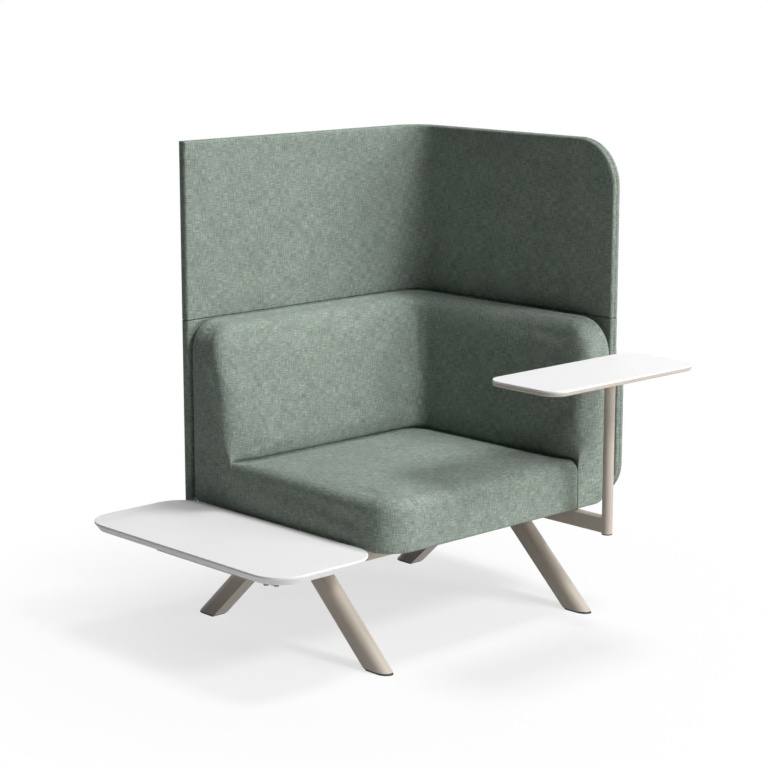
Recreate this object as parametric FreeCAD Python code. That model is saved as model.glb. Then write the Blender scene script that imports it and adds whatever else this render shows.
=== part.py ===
import FreeCAD, Part
import math
import os
from FreeCAD import Vector

# Privacy booth sofa: a seat with a wrap-round back and arm, a tall screen in two bands, a tube frame on
# splayed legs, a fixed side table and a small table that swivels on a mast.
# Working frame in millimetres: x from the left face of the seat, y from its front face, z from the floor.
# Every piece is moved at the end, so that the origin is under the middle of the whole part.

# Seat cushion
seat_width = 706.0
seat_depth = 614.0
seat_thickness = 131.0
seat_crown = 6.0
seat_edge_radius = 35.0
seat_corner_radius = 90.0
seat_crease_radius = 12.0
cushion_bottom_radius = 14.0
seam_edge_radius = 3.0
arm_seam_radius = 9.0

# Wedge cushion that is back and arm in one
back_thickness = 183.0
arm_thickness = 160.0
back_height = 378.0
back_recline_angle = 13.2
arm_recline_angle = 11.0
wedge_front_top_radius = 34.0
wedge_rear_top_radius = 12.0
wedge_left_end_radius = 80.0
wedge_arm_end_radius = 90.0
wedge_bottom_radius = 70.0
wedge_inner_corner_radius = 50.0
wedge_outer_corner_radius = 53.0
wedge_front_edge_radius = 18.0
wedge_rear_edge_radius = 8.0
edge_blend_height = 60.0

# Boards inside and under the upholstery
base_board_thickness = 10.0
base_board_inset = 40.0
seat_board_thickness = 12.0
seat_board_inset = 30.0
upright_thickness = 15.0
upright_margin = 5.0
upright_end_inset = 45.0
foam_over_uprights = 120.0

# Screen
screen_back_gap = 13.0
screen_side_gap = 20.0
screen_thickness = 28.0
screen_top = 1300.0
screen_seam = 805.0
screen_seam_gap = 2.0
screen_bottom = 284.0
upper_screen_front = 31.0
lower_screen_front = 2.0
screen_step_top = 700.0
screen_step_bottom = 630.0
screen_step_radius = 100.0
screen_top_radius = 132.0
screen_bottom_radius = 108.0
screen_corner_radius = 100.0
screen_edge_radius = 6.5
screen_core_thickness = 12.0
screen_core_inset = 14.0
dowel_radius = 4.0
dowel_length = 100.0
dowel_end_margin = 90.0
back_dowel_count = 3
side_dowel_count = 2

# Bolts that hold the screen off the wedge
spacer_radius = 12.0
spacer_low_rise = 103.0
spacer_high_drop = 46.0
spacer_end_margin = 150.0
spacer_corner_margin = 30.0
back_spacer_count = 3
side_spacer_count = 2
bolt_radius = 4.0
bolt_head_radius = 8.0
bolt_head_height = 5.0

# Frame of rectangular tubes
frame_bottom = 246.0
frame_middle = 333.0
rail_spacing = 366.0
rail_width = 30.0
rail_height = 25.0
rail_left_inset = 91.0
beam_width = 30.0
mast_beam_height = 41.0
left_beam_offset = 38.0
right_beam_offset = 18.0
tube_wall = 2.5
cap_flange = 3.0
cap_insert = 12.0

# Legs and glides
foot_spacing = 698.0
leg_splay = 46.8
leg_width = 47.0
leg_depth = 53.0
leg_round = 20.0
glide_height = 5.0
glide_inset = 1.5
leg_bolt_pitch = 20.0
leg_bolt_depth = 25.0
leg_bolt_head_radius = 6.5
leg_bolt_head_height = 8.0
access_hole_radius = 8.0

# Bolts between the frame and the base board
seat_spacer_radius = 15.0
frame_bolt_margin = 60.0
rail_bolt_count = 3
beam_bolt_spacing = 150.0
bolt_end_in_tube = 8.0

# Screws from below into the boards
screw_radius = 2.5
screw_head_radius = 6.0
screw_head_height = 3.0
seat_screw_bite = 8.0
seat_screw_inset = 90.0
upright_screw_bite = 45.0
upright_screw_margin = 80.0
back_screw_count = 4
arm_screw_count = 3

# Side table
side_table_gap = 8.0
side_table_width = 353.0
side_table_front = 12.0
side_table_depth = 818.0
side_table_thickness = 23.0
side_table_edge = 5.5
side_table_undercut = 13.0
side_table_corner = 90.0
table_edge_softening = 1.5
carrier_thickness = 6.0
carrier_left_inset = 21.0
carrier_right_inset = 40.0
carrier_corner = 12.0
carrier_bolt_head_height = 3.0
table_screw_bite = 14.0
table_screw_inset = 34.0
buffer_radius = 7.0
buffer_height = 5.0
buffer_edge_inset = 9.0
buffer_turns = (16.0, 39.0)

# Mast and swivel table
mast_forward = 108.0
mast_radius = 15.0
mast_wall = 3.0
mast_drop = 3.0
plug_flange = 3.0
plug_insert = 15.0
swivel_top = 733.0
swivel_left_reach = 461.0
swivel_right_reach = 106.0
swivel_front_reach = 218.0
swivel_rear_reach = 28.0
swivel_corner = 50.0
swivel_thickness = 5.0
tray_thickness = 10.0
tray_inset = 0.5
tray_edge_radius = 4.0
hub_radius = 30.0
hub_thickness = 4.0
spindle_radius = 8.0
spindle_length = 160.0
bush_flange = 2.0
upper_bush_length = 30.0
lower_bush_length = 25.0
ring_thickness = 2.5
ring_groove = 1.0
ring_width = 3.5
ring_below_bush = 0.3
spindle_tail = 10.0
hub_screw_circle = 22.0
hub_screw_count = 4
hub_screw_bite = 6.0
hub_screw_head_radius = 5.0
tray_screw_inset = 45.0
tray_screw_bite = 3.5

# Clearances
soft_clearance = 0.3
hole_clearance = 0.3
thread_clearance = 0.05
running_clearance = 0.05
turning_gap = 0.3
side_clearance = 1.5
weld_gap = 0.05

# How finely the soft forms are drawn and how edges are told apart
bottom_angles = (0, 30, 60, 90)
edge_angles = (0, 15, 30, 45, 60, 75, 90)
crown_shares = (0.2, 0.45, 0.7)
least_level_step = 0.3
level_tolerance = 0.05
crease_cosine = 0.9

# Sizes that follow from those above
back_lean = math.tan(math.radians(back_recline_angle))
arm_lean = math.tan(math.radians(arm_recline_angle))
splay = math.tan(math.radians(leg_splay))
rail_top = frame_bottom + rail_height
board_bottom = frame_bottom + mast_beam_height
board_top = board_bottom + base_board_thickness
seat_top = board_top + seat_thickness
wedge_top = seat_top + back_height
wedge_rear = seat_depth + back_thickness
wedge_right = seat_width + arm_thickness
screen_inner_y = wedge_rear + screen_back_gap
screen_outer_y = screen_inner_y + screen_thickness
screen_inner_x = wedge_right + screen_side_gap
screen_outer_x = screen_inner_x + screen_thickness
lower_screen_top = screen_seam - screen_seam_gap / 2
upper_screen_bottom = screen_seam + screen_seam_gap / 2
lower_screen_step = upper_screen_front - lower_screen_front
core_cover = (screen_thickness - screen_core_thickness) / 2
upright_rear = wedge_rear - wedge_bottom_radius - upright_margin
upright_right = wedge_right - wedge_bottom_radius - upright_margin
upright_front_y = upright_rear - upright_thickness
upright_left_x = upright_right - upright_thickness
upright_top = wedge_top - foam_over_uprights
spacer_heights = (board_top + spacer_low_rise, upright_top - spacer_high_drop)
left_beam_place = -left_beam_offset
right_beam_place = seat_width + right_beam_offset
front_rail_place = frame_middle - rail_spacing / 2
rear_rail_place = frame_middle + rail_spacing / 2
side_table_right = -side_table_gap
side_table_left = side_table_right - side_table_width
rail_left_end = side_table_left + rail_left_inset
side_table_rear = side_table_front + side_table_depth
carrier_top = rail_top + carrier_thickness
side_table_top_height = carrier_top + side_table_thickness
mast_x = right_beam_place
mast_y = -mast_forward
tray_bottom = swivel_top - swivel_thickness - tray_thickness
hub_bottom = tray_bottom - hub_thickness
mast_top = hub_bottom - turning_gap - bush_flange
mast_bottom = frame_bottom - mast_drop
spindle_bottom = mast_top - spindle_length
lower_bush_bottom = spindle_bottom + spindle_tail + ring_thickness + ring_below_bush
mast_bore = mast_radius - mast_wall
part_left = side_table_left
part_right = screen_outer_x
part_front = mast_y - swivel_front_reach
part_rear = screen_outer_y
origin = Vector((part_left + part_right) / 2, (part_front + part_rear) / 2, 0)


def box(x0, y0, z0, x1, y1, z1):
    """Block between two corners."""
    return Part.makeBox(x1 - x0, y1 - y0, z1 - z0, Vector(x0, y0, z0))


def rod(radius, start, end):
    """Round bar between two points."""
    axis = end - start
    return Part.makeCylinder(radius, axis.Length, start, axis)


def spread(start, end, count):
    """Evenly spaced places from start to end, both included."""
    return [start + (end - start) * i / (count - 1) for i in range(count)]


def rounded_wire(corners):
    """Closed wire through corners, each a point and the radius that rounds it, or 0 to stay sharp."""
    ends = []
    count = len(corners)
    for i, (point, radius) in enumerate(corners):
        to_last = (corners[i - 1][0] - point).normalize()
        to_next = (corners[(i + 1) % count][0] - point).normalize()
        if radius == 0:
            ends.append((point, None, point))
            continue
        half = to_last.getAngle(to_next) / 2
        run = radius / math.tan(half)
        inwards = (to_last + to_next).normalize()
        middle = point + inwards * (radius / math.sin(half) - radius)
        ends.append((point + to_last * run, middle, point + to_next * run))
    edges = []
    for i, (start, middle, end) in enumerate(ends):
        if middle is not None:
            edges.append(Part.Arc(start, middle, end).toShape())
        edges.append(Part.makeLine(end, ends[(i + 1) % count][0]))
    return Part.Wire(edges)


def rectangle_wire(x0, y0, x1, y1, z, radius):
    """Level rectangle with equal rounded corners."""
    places = ((x0, y0), (x1, y0), (x1, y1), (x0, y1))
    return rounded_wire([(Vector(x, y, z), radius) for x, y in places])


def rounded_plate(x0, y0, x1, y1, z0, z1, radius):
    """Upright plate with rounded corners."""
    face = Part.Face(rectangle_wire(x0, y0, x1, y1, z0, radius))
    return face.extrude(Vector(0, 0, z1 - z0))


def edge_inset(height, radius):
    """How far a quarter-round edge stands back at a height below its outer end."""
    if height >= radius:
        return 0.0
    return radius - math.sqrt(radius ** 2 - (radius - height) ** 2)


def fastener(tip, seat, radius, head_radius, head_height):
    """Bolt or screw: a shank from its tip to its seat, and a round head beyond the seat."""
    outwards = (seat - tip).normalize()
    head = rod(head_radius, seat, seat + outwards * head_height)
    return rod(radius, tip, seat).fuse(head).removeSplitter()


def drill(shape, radius, start, end):
    """Cut a round hole between two points."""
    return shape.cut(rod(radius, start, end))


def sharp_edges(shape):
    """Edges where two faces meet at an angle."""
    found = []
    for edge in shape.Edges:
        faces = shape.ancestorsOfType(edge, Part.Face)
        if len(faces) < 2:
            continue
        middle = edge.valueAt((edge.FirstParameter + edge.LastParameter) / 2)
        normals = [face.normalAt(*face.Surface.parameter(middle)) for face in faces]
        if abs(normals[0].dot(normals[1])) < crease_cosine:
            found.append(edge)
    return found


# Places that more than one piece shares

def base_board_right():
    return wedge_right - wedge_bottom_radius


def base_board_rear():
    return wedge_rear - wedge_bottom_radius


def rail_bolt_places():
    xs = spread(frame_bolt_margin, right_beam_place - beam_width / 2 - frame_bolt_margin, rail_bolt_count)
    return [(x, y) for y in (front_rail_place, rear_rail_place) for x in xs]


def beam_bolt_places():
    return [(right_beam_place, frame_middle + side * beam_bolt_spacing / 2) for side in (-1, 1)]


def seat_screw_places():
    xs = (seat_screw_inset, seat_width - seat_screw_inset)
    ys = (seat_screw_inset, seat_depth - seat_screw_inset)
    return [(x, y) for x in xs for y in ys]


def upright_screw_places():
    back_y = upright_rear - upright_thickness / 2
    arm_x = upright_right - upright_thickness / 2
    first = upright_end_inset + upright_screw_margin
    back = [(x, back_y) for x in spread(first, right_beam_place - upright_screw_margin, back_screw_count)]
    arm = [(arm_x, y) for y in spread(first, upright_front_y - upright_screw_margin, arm_screw_count)]
    return back + arm


def spacer_places():
    """Start on the upright, end on the screen core, and bolt head, for each screen bolt."""
    places = []
    for z in spacer_heights:
        for x in spread(spacer_end_margin, seat_width - spacer_corner_margin, back_spacer_count):
            places.append((Vector(x, upright_rear, z), Vector(0, 1, 0), screen_inner_y - upright_rear))
        for y in spread(spacer_end_margin, seat_depth - spacer_corner_margin, side_spacer_count):
            places.append((Vector(upright_right, y, z), Vector(1, 0, 0), screen_inner_x - upright_right))
    return places


def dowel_places():
    mid_y = (screen_inner_y + screen_outer_y) / 2
    mid_x = (screen_inner_x + screen_outer_x) / 2
    back = spread(dowel_end_margin, wedge_right - dowel_end_margin, back_dowel_count)
    side = spread(upper_screen_front + dowel_end_margin, wedge_rear - dowel_end_margin, side_dowel_count)
    return [(x, mid_y) for x in back] + [(mid_x, y) for y in side]


def carrier_left():
    return side_table_left + carrier_left_inset


def carrier_right():
    return side_table_right - carrier_right_inset


def carrier_bolt_places():
    xs = (rail_left_end + frame_bolt_margin / 2, carrier_right() - frame_bolt_margin / 2)
    return [(x, y) for x in xs for y in (front_rail_place, rear_rail_place)]


def table_screw_places():
    xs = (carrier_left() + table_screw_inset, carrier_right() - table_screw_inset)
    ys = [frame_middle + side * (rail_spacing / 2 - rail_width / 2 - table_screw_inset) for side in (-1, 1)]
    return [(x, y) for x in xs for y in ys]


def leg_places():
    """Name, x place and the side that the foot points to, for each leg."""
    rows = []
    for depth, side in (("front", -1), ("rear", 1)):
        for hand, x in (("left", left_beam_place), ("right", right_beam_place)):
            rows.append((depth + "_" + hand, x, side))
    return rows


def leg_bolt_places(side):
    """The y places of a leg's two bolts, centred in the stretch of leg that they run through."""
    top_middle = frame_middle + side * (foot_spacing / 2 - splay * frame_bottom)
    middle = top_middle + side * splay * leg_bolt_depth / 2
    return [middle - leg_bolt_pitch / 2, middle + leg_bolt_pitch / 2]


# Upholstery

def seat_section(z, free, hidden, corner):
    """Level section of the seat: free is the inset at the left and front, hidden at the crease sides."""
    right = seat_width - side_clearance - hidden
    rear = seat_depth - side_clearance - hidden
    inner_corner = max(cushion_bottom_radius, wedge_inner_corner_radius - side_clearance - hidden)
    corners = [
        (Vector(free, free, z), corner),
        (Vector(right, free, z), arm_seam_radius),
        (Vector(right, rear, z), inner_corner),
        (Vector(free, rear, z), seam_edge_radius),
    ]
    return rounded_wire(corners)


def make_seat_cushion():
    sections = []
    for angle in bottom_angles:
        inset = cushion_bottom_radius * (1 - math.sin(math.radians(angle)))
        z = board_top + cushion_bottom_radius * (1 - math.cos(math.radians(angle)))
        sections.append(seat_section(z, inset, 0, seat_corner_radius))
    for angle in edge_angles:
        z = seat_top - seat_edge_radius * (1 - math.sin(math.radians(angle)))
        inset = seat_edge_radius * (1 - math.cos(math.radians(angle)))
        hidden = edge_inset(seat_top - z, seat_crease_radius)
        sections.append(seat_section(z, inset, hidden, seat_corner_radius - inset))
    half = min(seat_width, seat_depth) / 2
    for share in crown_shares:
        rise = seat_crown * (1 - (1 - share) ** 2)
        inset = seat_edge_radius + (half - seat_edge_radius) * share
        hidden = seat_crease_radius + (half - seat_crease_radius) * share
        corner = (seat_corner_radius - seat_edge_radius) * (1 - share / 2)
        sections.append(seat_section(seat_top + rise, inset, hidden, corner))
    cushion = Part.makeLoft(sections, True, True)
    return cushion.cut(make_seat_board(soft_clearance))


def make_seat_board(clearance=0.0):
    low = seat_board_inset - clearance
    right = seat_width - seat_board_inset + clearance
    rear = seat_depth - seat_board_inset + clearance
    board = box(low, low, board_top, right, rear, board_top + seat_board_thickness + clearance)
    if clearance:
        return board
    for x, y in seat_screw_places():
        top = Vector(x, y, board_top + seat_screw_bite)
        board = drill(board, screw_radius + thread_clearance, Vector(x, y, board_top), top)
    return board


def wedge_section(z):
    """Level section of the wedge cushion: an L with rounded corners."""
    above_seat = max(0.0, z - seat_top)
    below_top = wedge_top - z
    above_floor = z - board_top
    rolled = edge_inset(below_top, wedge_front_top_radius)
    outer = edge_inset(below_top, wedge_rear_top_radius) + edge_inset(above_floor, wedge_bottom_radius)
    end_bottom = edge_inset(above_floor, cushion_bottom_radius)
    left = edge_inset(below_top, wedge_left_end_radius) + end_bottom
    front = edge_inset(below_top, wedge_arm_end_radius) + end_bottom
    rear_y = wedge_rear - outer
    right_x = wedge_right - outer
    inner_y = seat_depth + above_seat * back_lean + rolled
    inner_x = seat_width + above_seat * arm_lean + rolled
    blend = min(1.0, above_seat / edge_blend_height)
    left_edge = seam_edge_radius + (wedge_front_edge_radius - seam_edge_radius) * blend
    arm_edge = arm_seam_radius + (wedge_front_edge_radius - arm_seam_radius) * blend
    corners = [
        (Vector(left, inner_y, z), left_edge),
        (Vector(inner_x, inner_y, z), wedge_inner_corner_radius),
        (Vector(inner_x, front, z), arm_edge),
        (Vector(right_x, front, z), wedge_rear_edge_radius),
        (Vector(right_x, rear_y, z), wedge_outer_corner_radius),
        (Vector(left, rear_y, z), wedge_rear_edge_radius),
    ]
    return rounded_wire(corners)


def wedge_heights():
    """Levels of the wedge's sections: close together where its edges are round."""
    heights = []
    for radius in (cushion_bottom_radius, wedge_bottom_radius):
        for angle in bottom_angles:
            heights.append(board_top + radius * (1 - math.cos(math.radians(angle))))
    heights += [seat_top, seat_top + edge_blend_height / 2, seat_top + edge_blend_height]
    for radius in (wedge_arm_end_radius, wedge_front_top_radius):
        for angle in edge_angles:
            heights.append(wedge_top - radius * (1 - math.sin(math.radians(angle))))
    levels = []
    for height in sorted(heights):
        if not levels or height - levels[-1] > least_level_step:
            levels.append(height)
    return levels


def make_wedge_cushion():
    cushion = Part.makeLoft([wedge_section(z) for z in wedge_heights()], True, True)
    cushion = cushion.cut(make_back_board(soft_clearance).fuse(make_arm_board(soft_clearance)))
    for start, way, length in spacer_places():
        cushion = drill(cushion, spacer_radius + hole_clearance, start, start + way * length)
    return cushion


def make_back_board(clearance=0.0):
    left = upright_end_inset - clearance
    low = Vector(left, upright_front_y - clearance, board_top)
    high = Vector(upright_right + clearance, upright_rear + clearance, upright_top + clearance)
    return finish_upright(box(*low, *high), Vector(0, 1, 0), clearance)


def make_arm_board(clearance=0.0):
    low = Vector(upright_left_x - clearance, upright_end_inset - clearance, board_top)
    high = Vector(upright_right + clearance, upright_front_y, upright_top + clearance)
    return finish_upright(box(*low, *high), Vector(1, 0, 0), clearance)


def finish_upright(board, facing, clearance):
    """Drill an upright for its floor screws and for the screen bolts that face the same way."""
    if clearance:
        return board
    for x, y in upright_screw_places():
        top = Vector(x, y, board_top + upright_screw_bite)
        board = drill(board, screw_radius + thread_clearance, Vector(x, y, board_top), top)
    for start, way, length in spacer_places():
        if way == facing:
            board = drill(board, bolt_radius + thread_clearance, start - way * upright_thickness, start)
    return board


def make_base_board():
    low = base_board_inset
    board = box(low, low, board_bottom, base_board_right(), base_board_rear(), board_top)
    for x, y in rail_bolt_places() + beam_bolt_places():
        top = Vector(x, y, board_top)
        seat = Vector(x, y, board_top - bolt_head_height)
        board = drill(board, bolt_radius + hole_clearance, Vector(x, y, board_bottom), seat)
        board = drill(board, bolt_head_radius + hole_clearance, seat, top)
    for x, y in seat_screw_places() + upright_screw_places():
        low = Vector(x, y, board_bottom)
        board = drill(board, screw_radius + hole_clearance, low, Vector(x, y, board_top))
    return board


def board_screws(places, bite):
    """Screws up through the base board."""
    screws = []
    for x, y in places:
        seat = Vector(x, y, board_bottom)
        tip = Vector(x, y, board_top + bite)
        screws.append(fastener(tip, seat, screw_radius, screw_head_radius, screw_head_height))
    return Part.makeCompound(screws)


# Screen

def screen_band(bottom, top, front, bottom_radius, top_radius, side, ends, step=0.0):
    """One L-shaped band. side and ends are the insets of its faces and of its free edges.
    step is how far its front end stands back above the swell in its front edge."""
    left = ends
    front = front + ends
    inner_y = screen_inner_y + side
    outer_y = screen_outer_y - side
    inner_x = screen_inner_x + side
    outer_x = screen_outer_x - side
    plan = [
        (Vector(left, inner_y, bottom), 0),
        (Vector(inner_x, inner_y, bottom), screen_corner_radius - screen_thickness + side),
        (Vector(inner_x, front, bottom), 0),
        (Vector(outer_x, front, bottom), 0),
        (Vector(outer_x, outer_y, bottom), screen_corner_radius - side),
        (Vector(left, outer_y, bottom), 0),
    ]
    band = Part.Face(rounded_wire(plan)).extrude(Vector(0, 0, top - bottom))
    beyond = screen_thickness
    side_view = [
        (Vector(left - beyond, front, bottom), max(0, bottom_radius - ends) if bottom_radius else 0),
        (Vector(left - beyond, outer_y + beyond, bottom), 0),
        (Vector(left - beyond, outer_y + beyond, top), 0),
        (Vector(left - beyond, front + step, top), max(0, top_radius - ends) if top_radius else 0),
    ]
    if step:
        side_view.append((Vector(left - beyond, front + step, screen_step_top), screen_step_radius))
        side_view.append((Vector(left - beyond, front, screen_step_bottom), screen_step_radius))
    across = Vector(outer_x - left + 2 * beyond, 0, 0)
    return band.common(Part.Face(rounded_wire(side_view)).extrude(across))


def upper_core_blank(clearance=0.0):
    foot = upper_screen_bottom - (screen_edge_radius * 2 if clearance else 0)
    side = core_cover - clearance
    ends = screen_core_inset - clearance
    return screen_band(foot, screen_top - ends, upper_screen_front, 0, screen_top_radius, side, ends)


def lower_core_blank(clearance=0.0):
    head = lower_screen_top + (screen_edge_radius * 2 if clearance else 0)
    side = core_cover - clearance
    ends = screen_core_inset - clearance
    low = screen_bottom + ends
    return screen_band(low, head, lower_screen_front, screen_bottom_radius, 0, side, ends, lower_screen_step)


def make_upper_screen_cover():
    band = screen_band(upper_screen_bottom, screen_top, upper_screen_front, 0, screen_top_radius, 0, 0)
    band = band.makeFillet(screen_edge_radius, sharp_edges(band))
    return band.cut(upper_core_blank(soft_clearance))


def make_lower_screen_cover():
    low, head = screen_bottom, lower_screen_top
    band = screen_band(low, head, lower_screen_front, screen_bottom_radius, 0, 0, 0, lower_screen_step)
    band = band.makeFillet(screen_edge_radius, sharp_edges(band))
    band = band.cut(lower_core_blank(soft_clearance))
    for start, way, length in spacer_places():
        far = start + way * (length + core_cover)
        band = drill(band, spacer_radius + hole_clearance, start, far)
    return band


def drill_dowels(core):
    for x, y in dowel_places():
        low = Vector(x, y, screen_seam - dowel_length / 2)
        high = Vector(x, y, screen_seam + dowel_length / 2)
        core = drill(core, dowel_radius + thread_clearance, low, high)
    return core


def make_upper_screen_core():
    return drill_dowels(upper_core_blank())


def make_lower_screen_core():
    core = drill_dowels(lower_core_blank())
    for start, way, length in spacer_places():
        near = start + way * (length + core_cover)
        far = near + way * screen_core_thickness
        seat = far - way * bolt_head_height
        core = drill(core, bolt_radius + hole_clearance, near, far)
        core = drill(core, bolt_head_radius + hole_clearance, seat, far)
    return core


def make_screen_dowels():
    dowels = []
    for x, y in dowel_places():
        low = Vector(x, y, screen_seam - dowel_length / 2)
        dowels.append(rod(dowel_radius, low, low + Vector(0, 0, dowel_length)))
    return Part.makeCompound(dowels)


def make_screen_spacers():
    spacers = []
    for start, way, length in spacer_places():
        end = start + way * (length + core_cover)
        spacers.append(drill(rod(spacer_radius, start, end), bolt_radius + hole_clearance, start, end))
    return Part.makeCompound(spacers)


def make_screen_bolts():
    bolts = []
    for start, way, length in spacer_places():
        tip = start - way * upright_thickness
        seat = start + way * (length + core_cover + screen_core_thickness - bolt_head_height)
        bolts.append(fastener(tip, seat, bolt_radius, bolt_head_radius, bolt_head_height))
    return Part.makeCompound(bolts)


# Frame

def tube(x0, y0, z0, x1, y1, z1, along):
    """Rectangular tube, open at both ends along x or y."""
    inset_x = 0 if along == "x" else tube_wall
    inset_y = 0 if along == "y" else tube_wall
    bore = box(x0 + inset_x, y0 + inset_y, z0 + tube_wall, x1 - inset_x, y1 - inset_y, z1 - tube_wall)
    return box(x0, y0, z0, x1, y1, z1).cut(bore)


def make_rail(place):
    right = right_beam_place - beam_width / 2
    half = rail_width / 2
    rail = tube(rail_left_end, place - half, frame_bottom, right, place + half, rail_top, "x")
    for x, y in rail_bolt_places() + carrier_bolt_places():
        if y == place:
            wall = Vector(x, y, rail_top - tube_wall)
            rail = drill(rail, bolt_radius + thread_clearance, wall, Vector(x, y, rail_top))
    return rail


def drill_for_legs(beam, x, top):
    """Bolt holes through a beam's lower wall and access holes through its upper wall."""
    for side in (-1, 1):
        for y in leg_bolt_places(side):
            low = Vector(x, y, frame_bottom)
            high = Vector(x, y, top)
            wall = Vector(0, 0, tube_wall)
            beam = drill(beam, bolt_radius + hole_clearance, low, low + wall)
            beam = drill(beam, access_hole_radius, high - wall, high)
    return beam


def make_left_beam():
    half = beam_width / 2
    front = front_rail_place + rail_width / 2
    rear = rear_rail_place - rail_width / 2
    beam = tube(left_beam_place - half, front, frame_bottom, left_beam_place + half, rear, rail_top, "y")
    return drill_for_legs(beam, left_beam_place, rail_top)


def make_right_beam():
    half = beam_width / 2
    rear = rear_rail_place + rail_width / 2
    beam = tube(mast_x - half, mast_y, frame_bottom, mast_x + half, rear, board_bottom, "y")
    beam = drill_for_legs(beam, right_beam_place, board_bottom)
    for x, y in beam_bolt_places():
        wall = Vector(x, y, board_bottom - tube_wall)
        beam = drill(beam, bolt_radius + thread_clearance, wall, Vector(x, y, board_bottom))
    below = Vector(mast_x, mast_y, frame_bottom)
    return drill(beam, mast_radius + weld_gap, below, Vector(mast_x, mast_y, board_bottom))


def end_cap(centre, outwards, width, height):
    """Plug for a tube end: a flange outside and an insert inside."""
    across = Vector(-outwards.y, outwards.x, 0)
    cap = None
    sizes = ((0, cap_flange, 0), (-cap_insert, 0, tube_wall + hole_clearance))
    for start, end, inset in sizes:
        low = centre + outwards * start - across * (width / 2 - inset) - Vector(0, 0, height / 2 - inset)
        high = centre + outwards * end + across * (width / 2 - inset) + Vector(0, 0, height / 2 - inset)
        lows = [min(a, b) for a, b in zip(low, high)]
        highs = [max(a, b) for a, b in zip(low, high)]
        block = box(*lows, *highs)
        cap = block if cap is None else cap.fuse(block)
    return cap


def make_rail_end_caps():
    caps = []
    for place in (front_rail_place, rear_rail_place):
        centre = Vector(rail_left_end, place, (frame_bottom + rail_top) / 2)
        caps.append(end_cap(centre, Vector(-1, 0, 0), rail_width, rail_height))
    rear = Vector(right_beam_place, rear_rail_place + rail_width / 2, (frame_bottom + board_bottom) / 2)
    caps.append(end_cap(rear, Vector(0, 1, 0), beam_width, mast_beam_height))
    return Part.makeCompound(caps)


def leg_bar(x, side, inset, bottom, top):
    """D-section bar on a leg's line between two levels. Its round face is the outer, upper one."""
    angle = math.radians(leg_splay)
    down = Vector(0, side * math.sin(angle), -math.cos(angle))
    outer = Vector(0, side * math.cos(angle), math.sin(angle))
    foot = Vector(x, frame_middle + side * foot_spacing / 2, 0)
    start = foot - down * (2 * frame_bottom)
    half = Vector(leg_width / 2 - inset, 0, 0)
    flat = start - outer * (leg_depth / 2 - inset)
    shoulder = start + outer * (leg_depth / 2 - leg_round)
    crown = start + outer * (leg_depth / 2 - inset)
    edges = [
        Part.makeLine(flat - half, flat + half),
        Part.makeLine(flat + half, shoulder + half),
        Part.Arc(shoulder + half, crown, shoulder - half).toShape(),
        Part.makeLine(shoulder - half, flat - half),
    ]
    bar = Part.Face(Part.Wire(edges)).extrude(down * (3 * frame_bottom))
    reach = foot_spacing
    return bar.common(box(x - leg_width, foot.y - reach, bottom, x + leg_width, foot.y + reach, top))


def make_leg(x, side):
    leg = leg_bar(x, side, 0, glide_height, frame_bottom)
    for y in leg_bolt_places(side):
        top = Vector(x, y, frame_bottom)
        leg = drill(leg, bolt_radius + thread_clearance, top - Vector(0, 0, leg_bolt_depth), top)
    return leg


def make_glide(x, side):
    return leg_bar(x, side, glide_inset, 0, glide_height)


def make_leg_bolts():
    bolts = []
    for name, x, side in leg_places():
        for y in leg_bolt_places(side):
            seat = Vector(x, y, frame_bottom + tube_wall)
            tip = Vector(x, y, frame_bottom - leg_bolt_depth)
            bolts.append(fastener(tip, seat, bolt_radius, leg_bolt_head_radius, leg_bolt_head_height))
    return Part.makeCompound(bolts)


def make_seat_spacers():
    spacers = []
    for x, y in rail_bolt_places():
        low = Vector(x, y, rail_top)
        high = Vector(x, y, board_bottom)
        spacers.append(drill(rod(seat_spacer_radius, low, high), bolt_radius + hole_clearance, low, high))
    return Part.makeCompound(spacers)


def make_frame_bolts():
    bolts = []
    for places, wall_top in ((rail_bolt_places(), rail_top), (beam_bolt_places(), board_bottom)):
        for x, y in places:
            seat = Vector(x, y, board_top - bolt_head_height)
            tip = Vector(x, y, wall_top - tube_wall - bolt_end_in_tube)
            bolts.append(fastener(tip, seat, bolt_radius, bolt_head_radius, bolt_head_height))
    return Part.makeCompound(bolts)


# Side table

def soften_rim(plate, z, radius):
    """Round the edges of a plate's face at a height."""
    rim = [edge for edge in plate.Edges if all(abs(v.Z - z) < level_tolerance for v in edge.Vertexes)]
    return plate.makeFillet(radius, rim)


def make_side_table_top():
    x0, x1 = side_table_left, side_table_right
    y0, y1 = side_table_front, side_table_rear
    cut = side_table_undercut
    shoulder = side_table_top_height - side_table_edge
    upper = rectangle_wire(x0, y0, x1, y1, shoulder, side_table_corner)
    lower = rectangle_wire(x0 + cut, y0 + cut, x1 - cut, y1 - cut, carrier_top, side_table_corner - cut)
    plate = Part.Face(upper).extrude(Vector(0, 0, side_table_edge))
    plate = plate.fuse(Part.makeLoft([lower, upper], True, True)).removeSplitter()
    plate = soften_rim(plate, side_table_top_height, table_edge_softening)
    for x, y in table_screw_places():
        low = Vector(x, y, carrier_top)
        plate = drill(plate, screw_radius + thread_clearance, low, low + Vector(0, 0, table_screw_bite))
    return plate


def make_table_carrier():
    front = front_rail_place - rail_width / 2
    rear = rear_rail_place + rail_width / 2
    plate = rounded_plate(carrier_left(), front, carrier_right(), rear, rail_top, carrier_top, carrier_corner)
    for x, y in carrier_bolt_places():
        top = Vector(x, y, carrier_top)
        seat = top - Vector(0, 0, carrier_bolt_head_height)
        plate = drill(plate, bolt_radius + hole_clearance, Vector(x, y, rail_top), seat)
        plate = drill(plate, bolt_head_radius + hole_clearance, seat, top)
    for x, y in table_screw_places():
        plate = drill(plate, screw_radius + hole_clearance, Vector(x, y, rail_top), Vector(x, y, carrier_top))
    return plate


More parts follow.
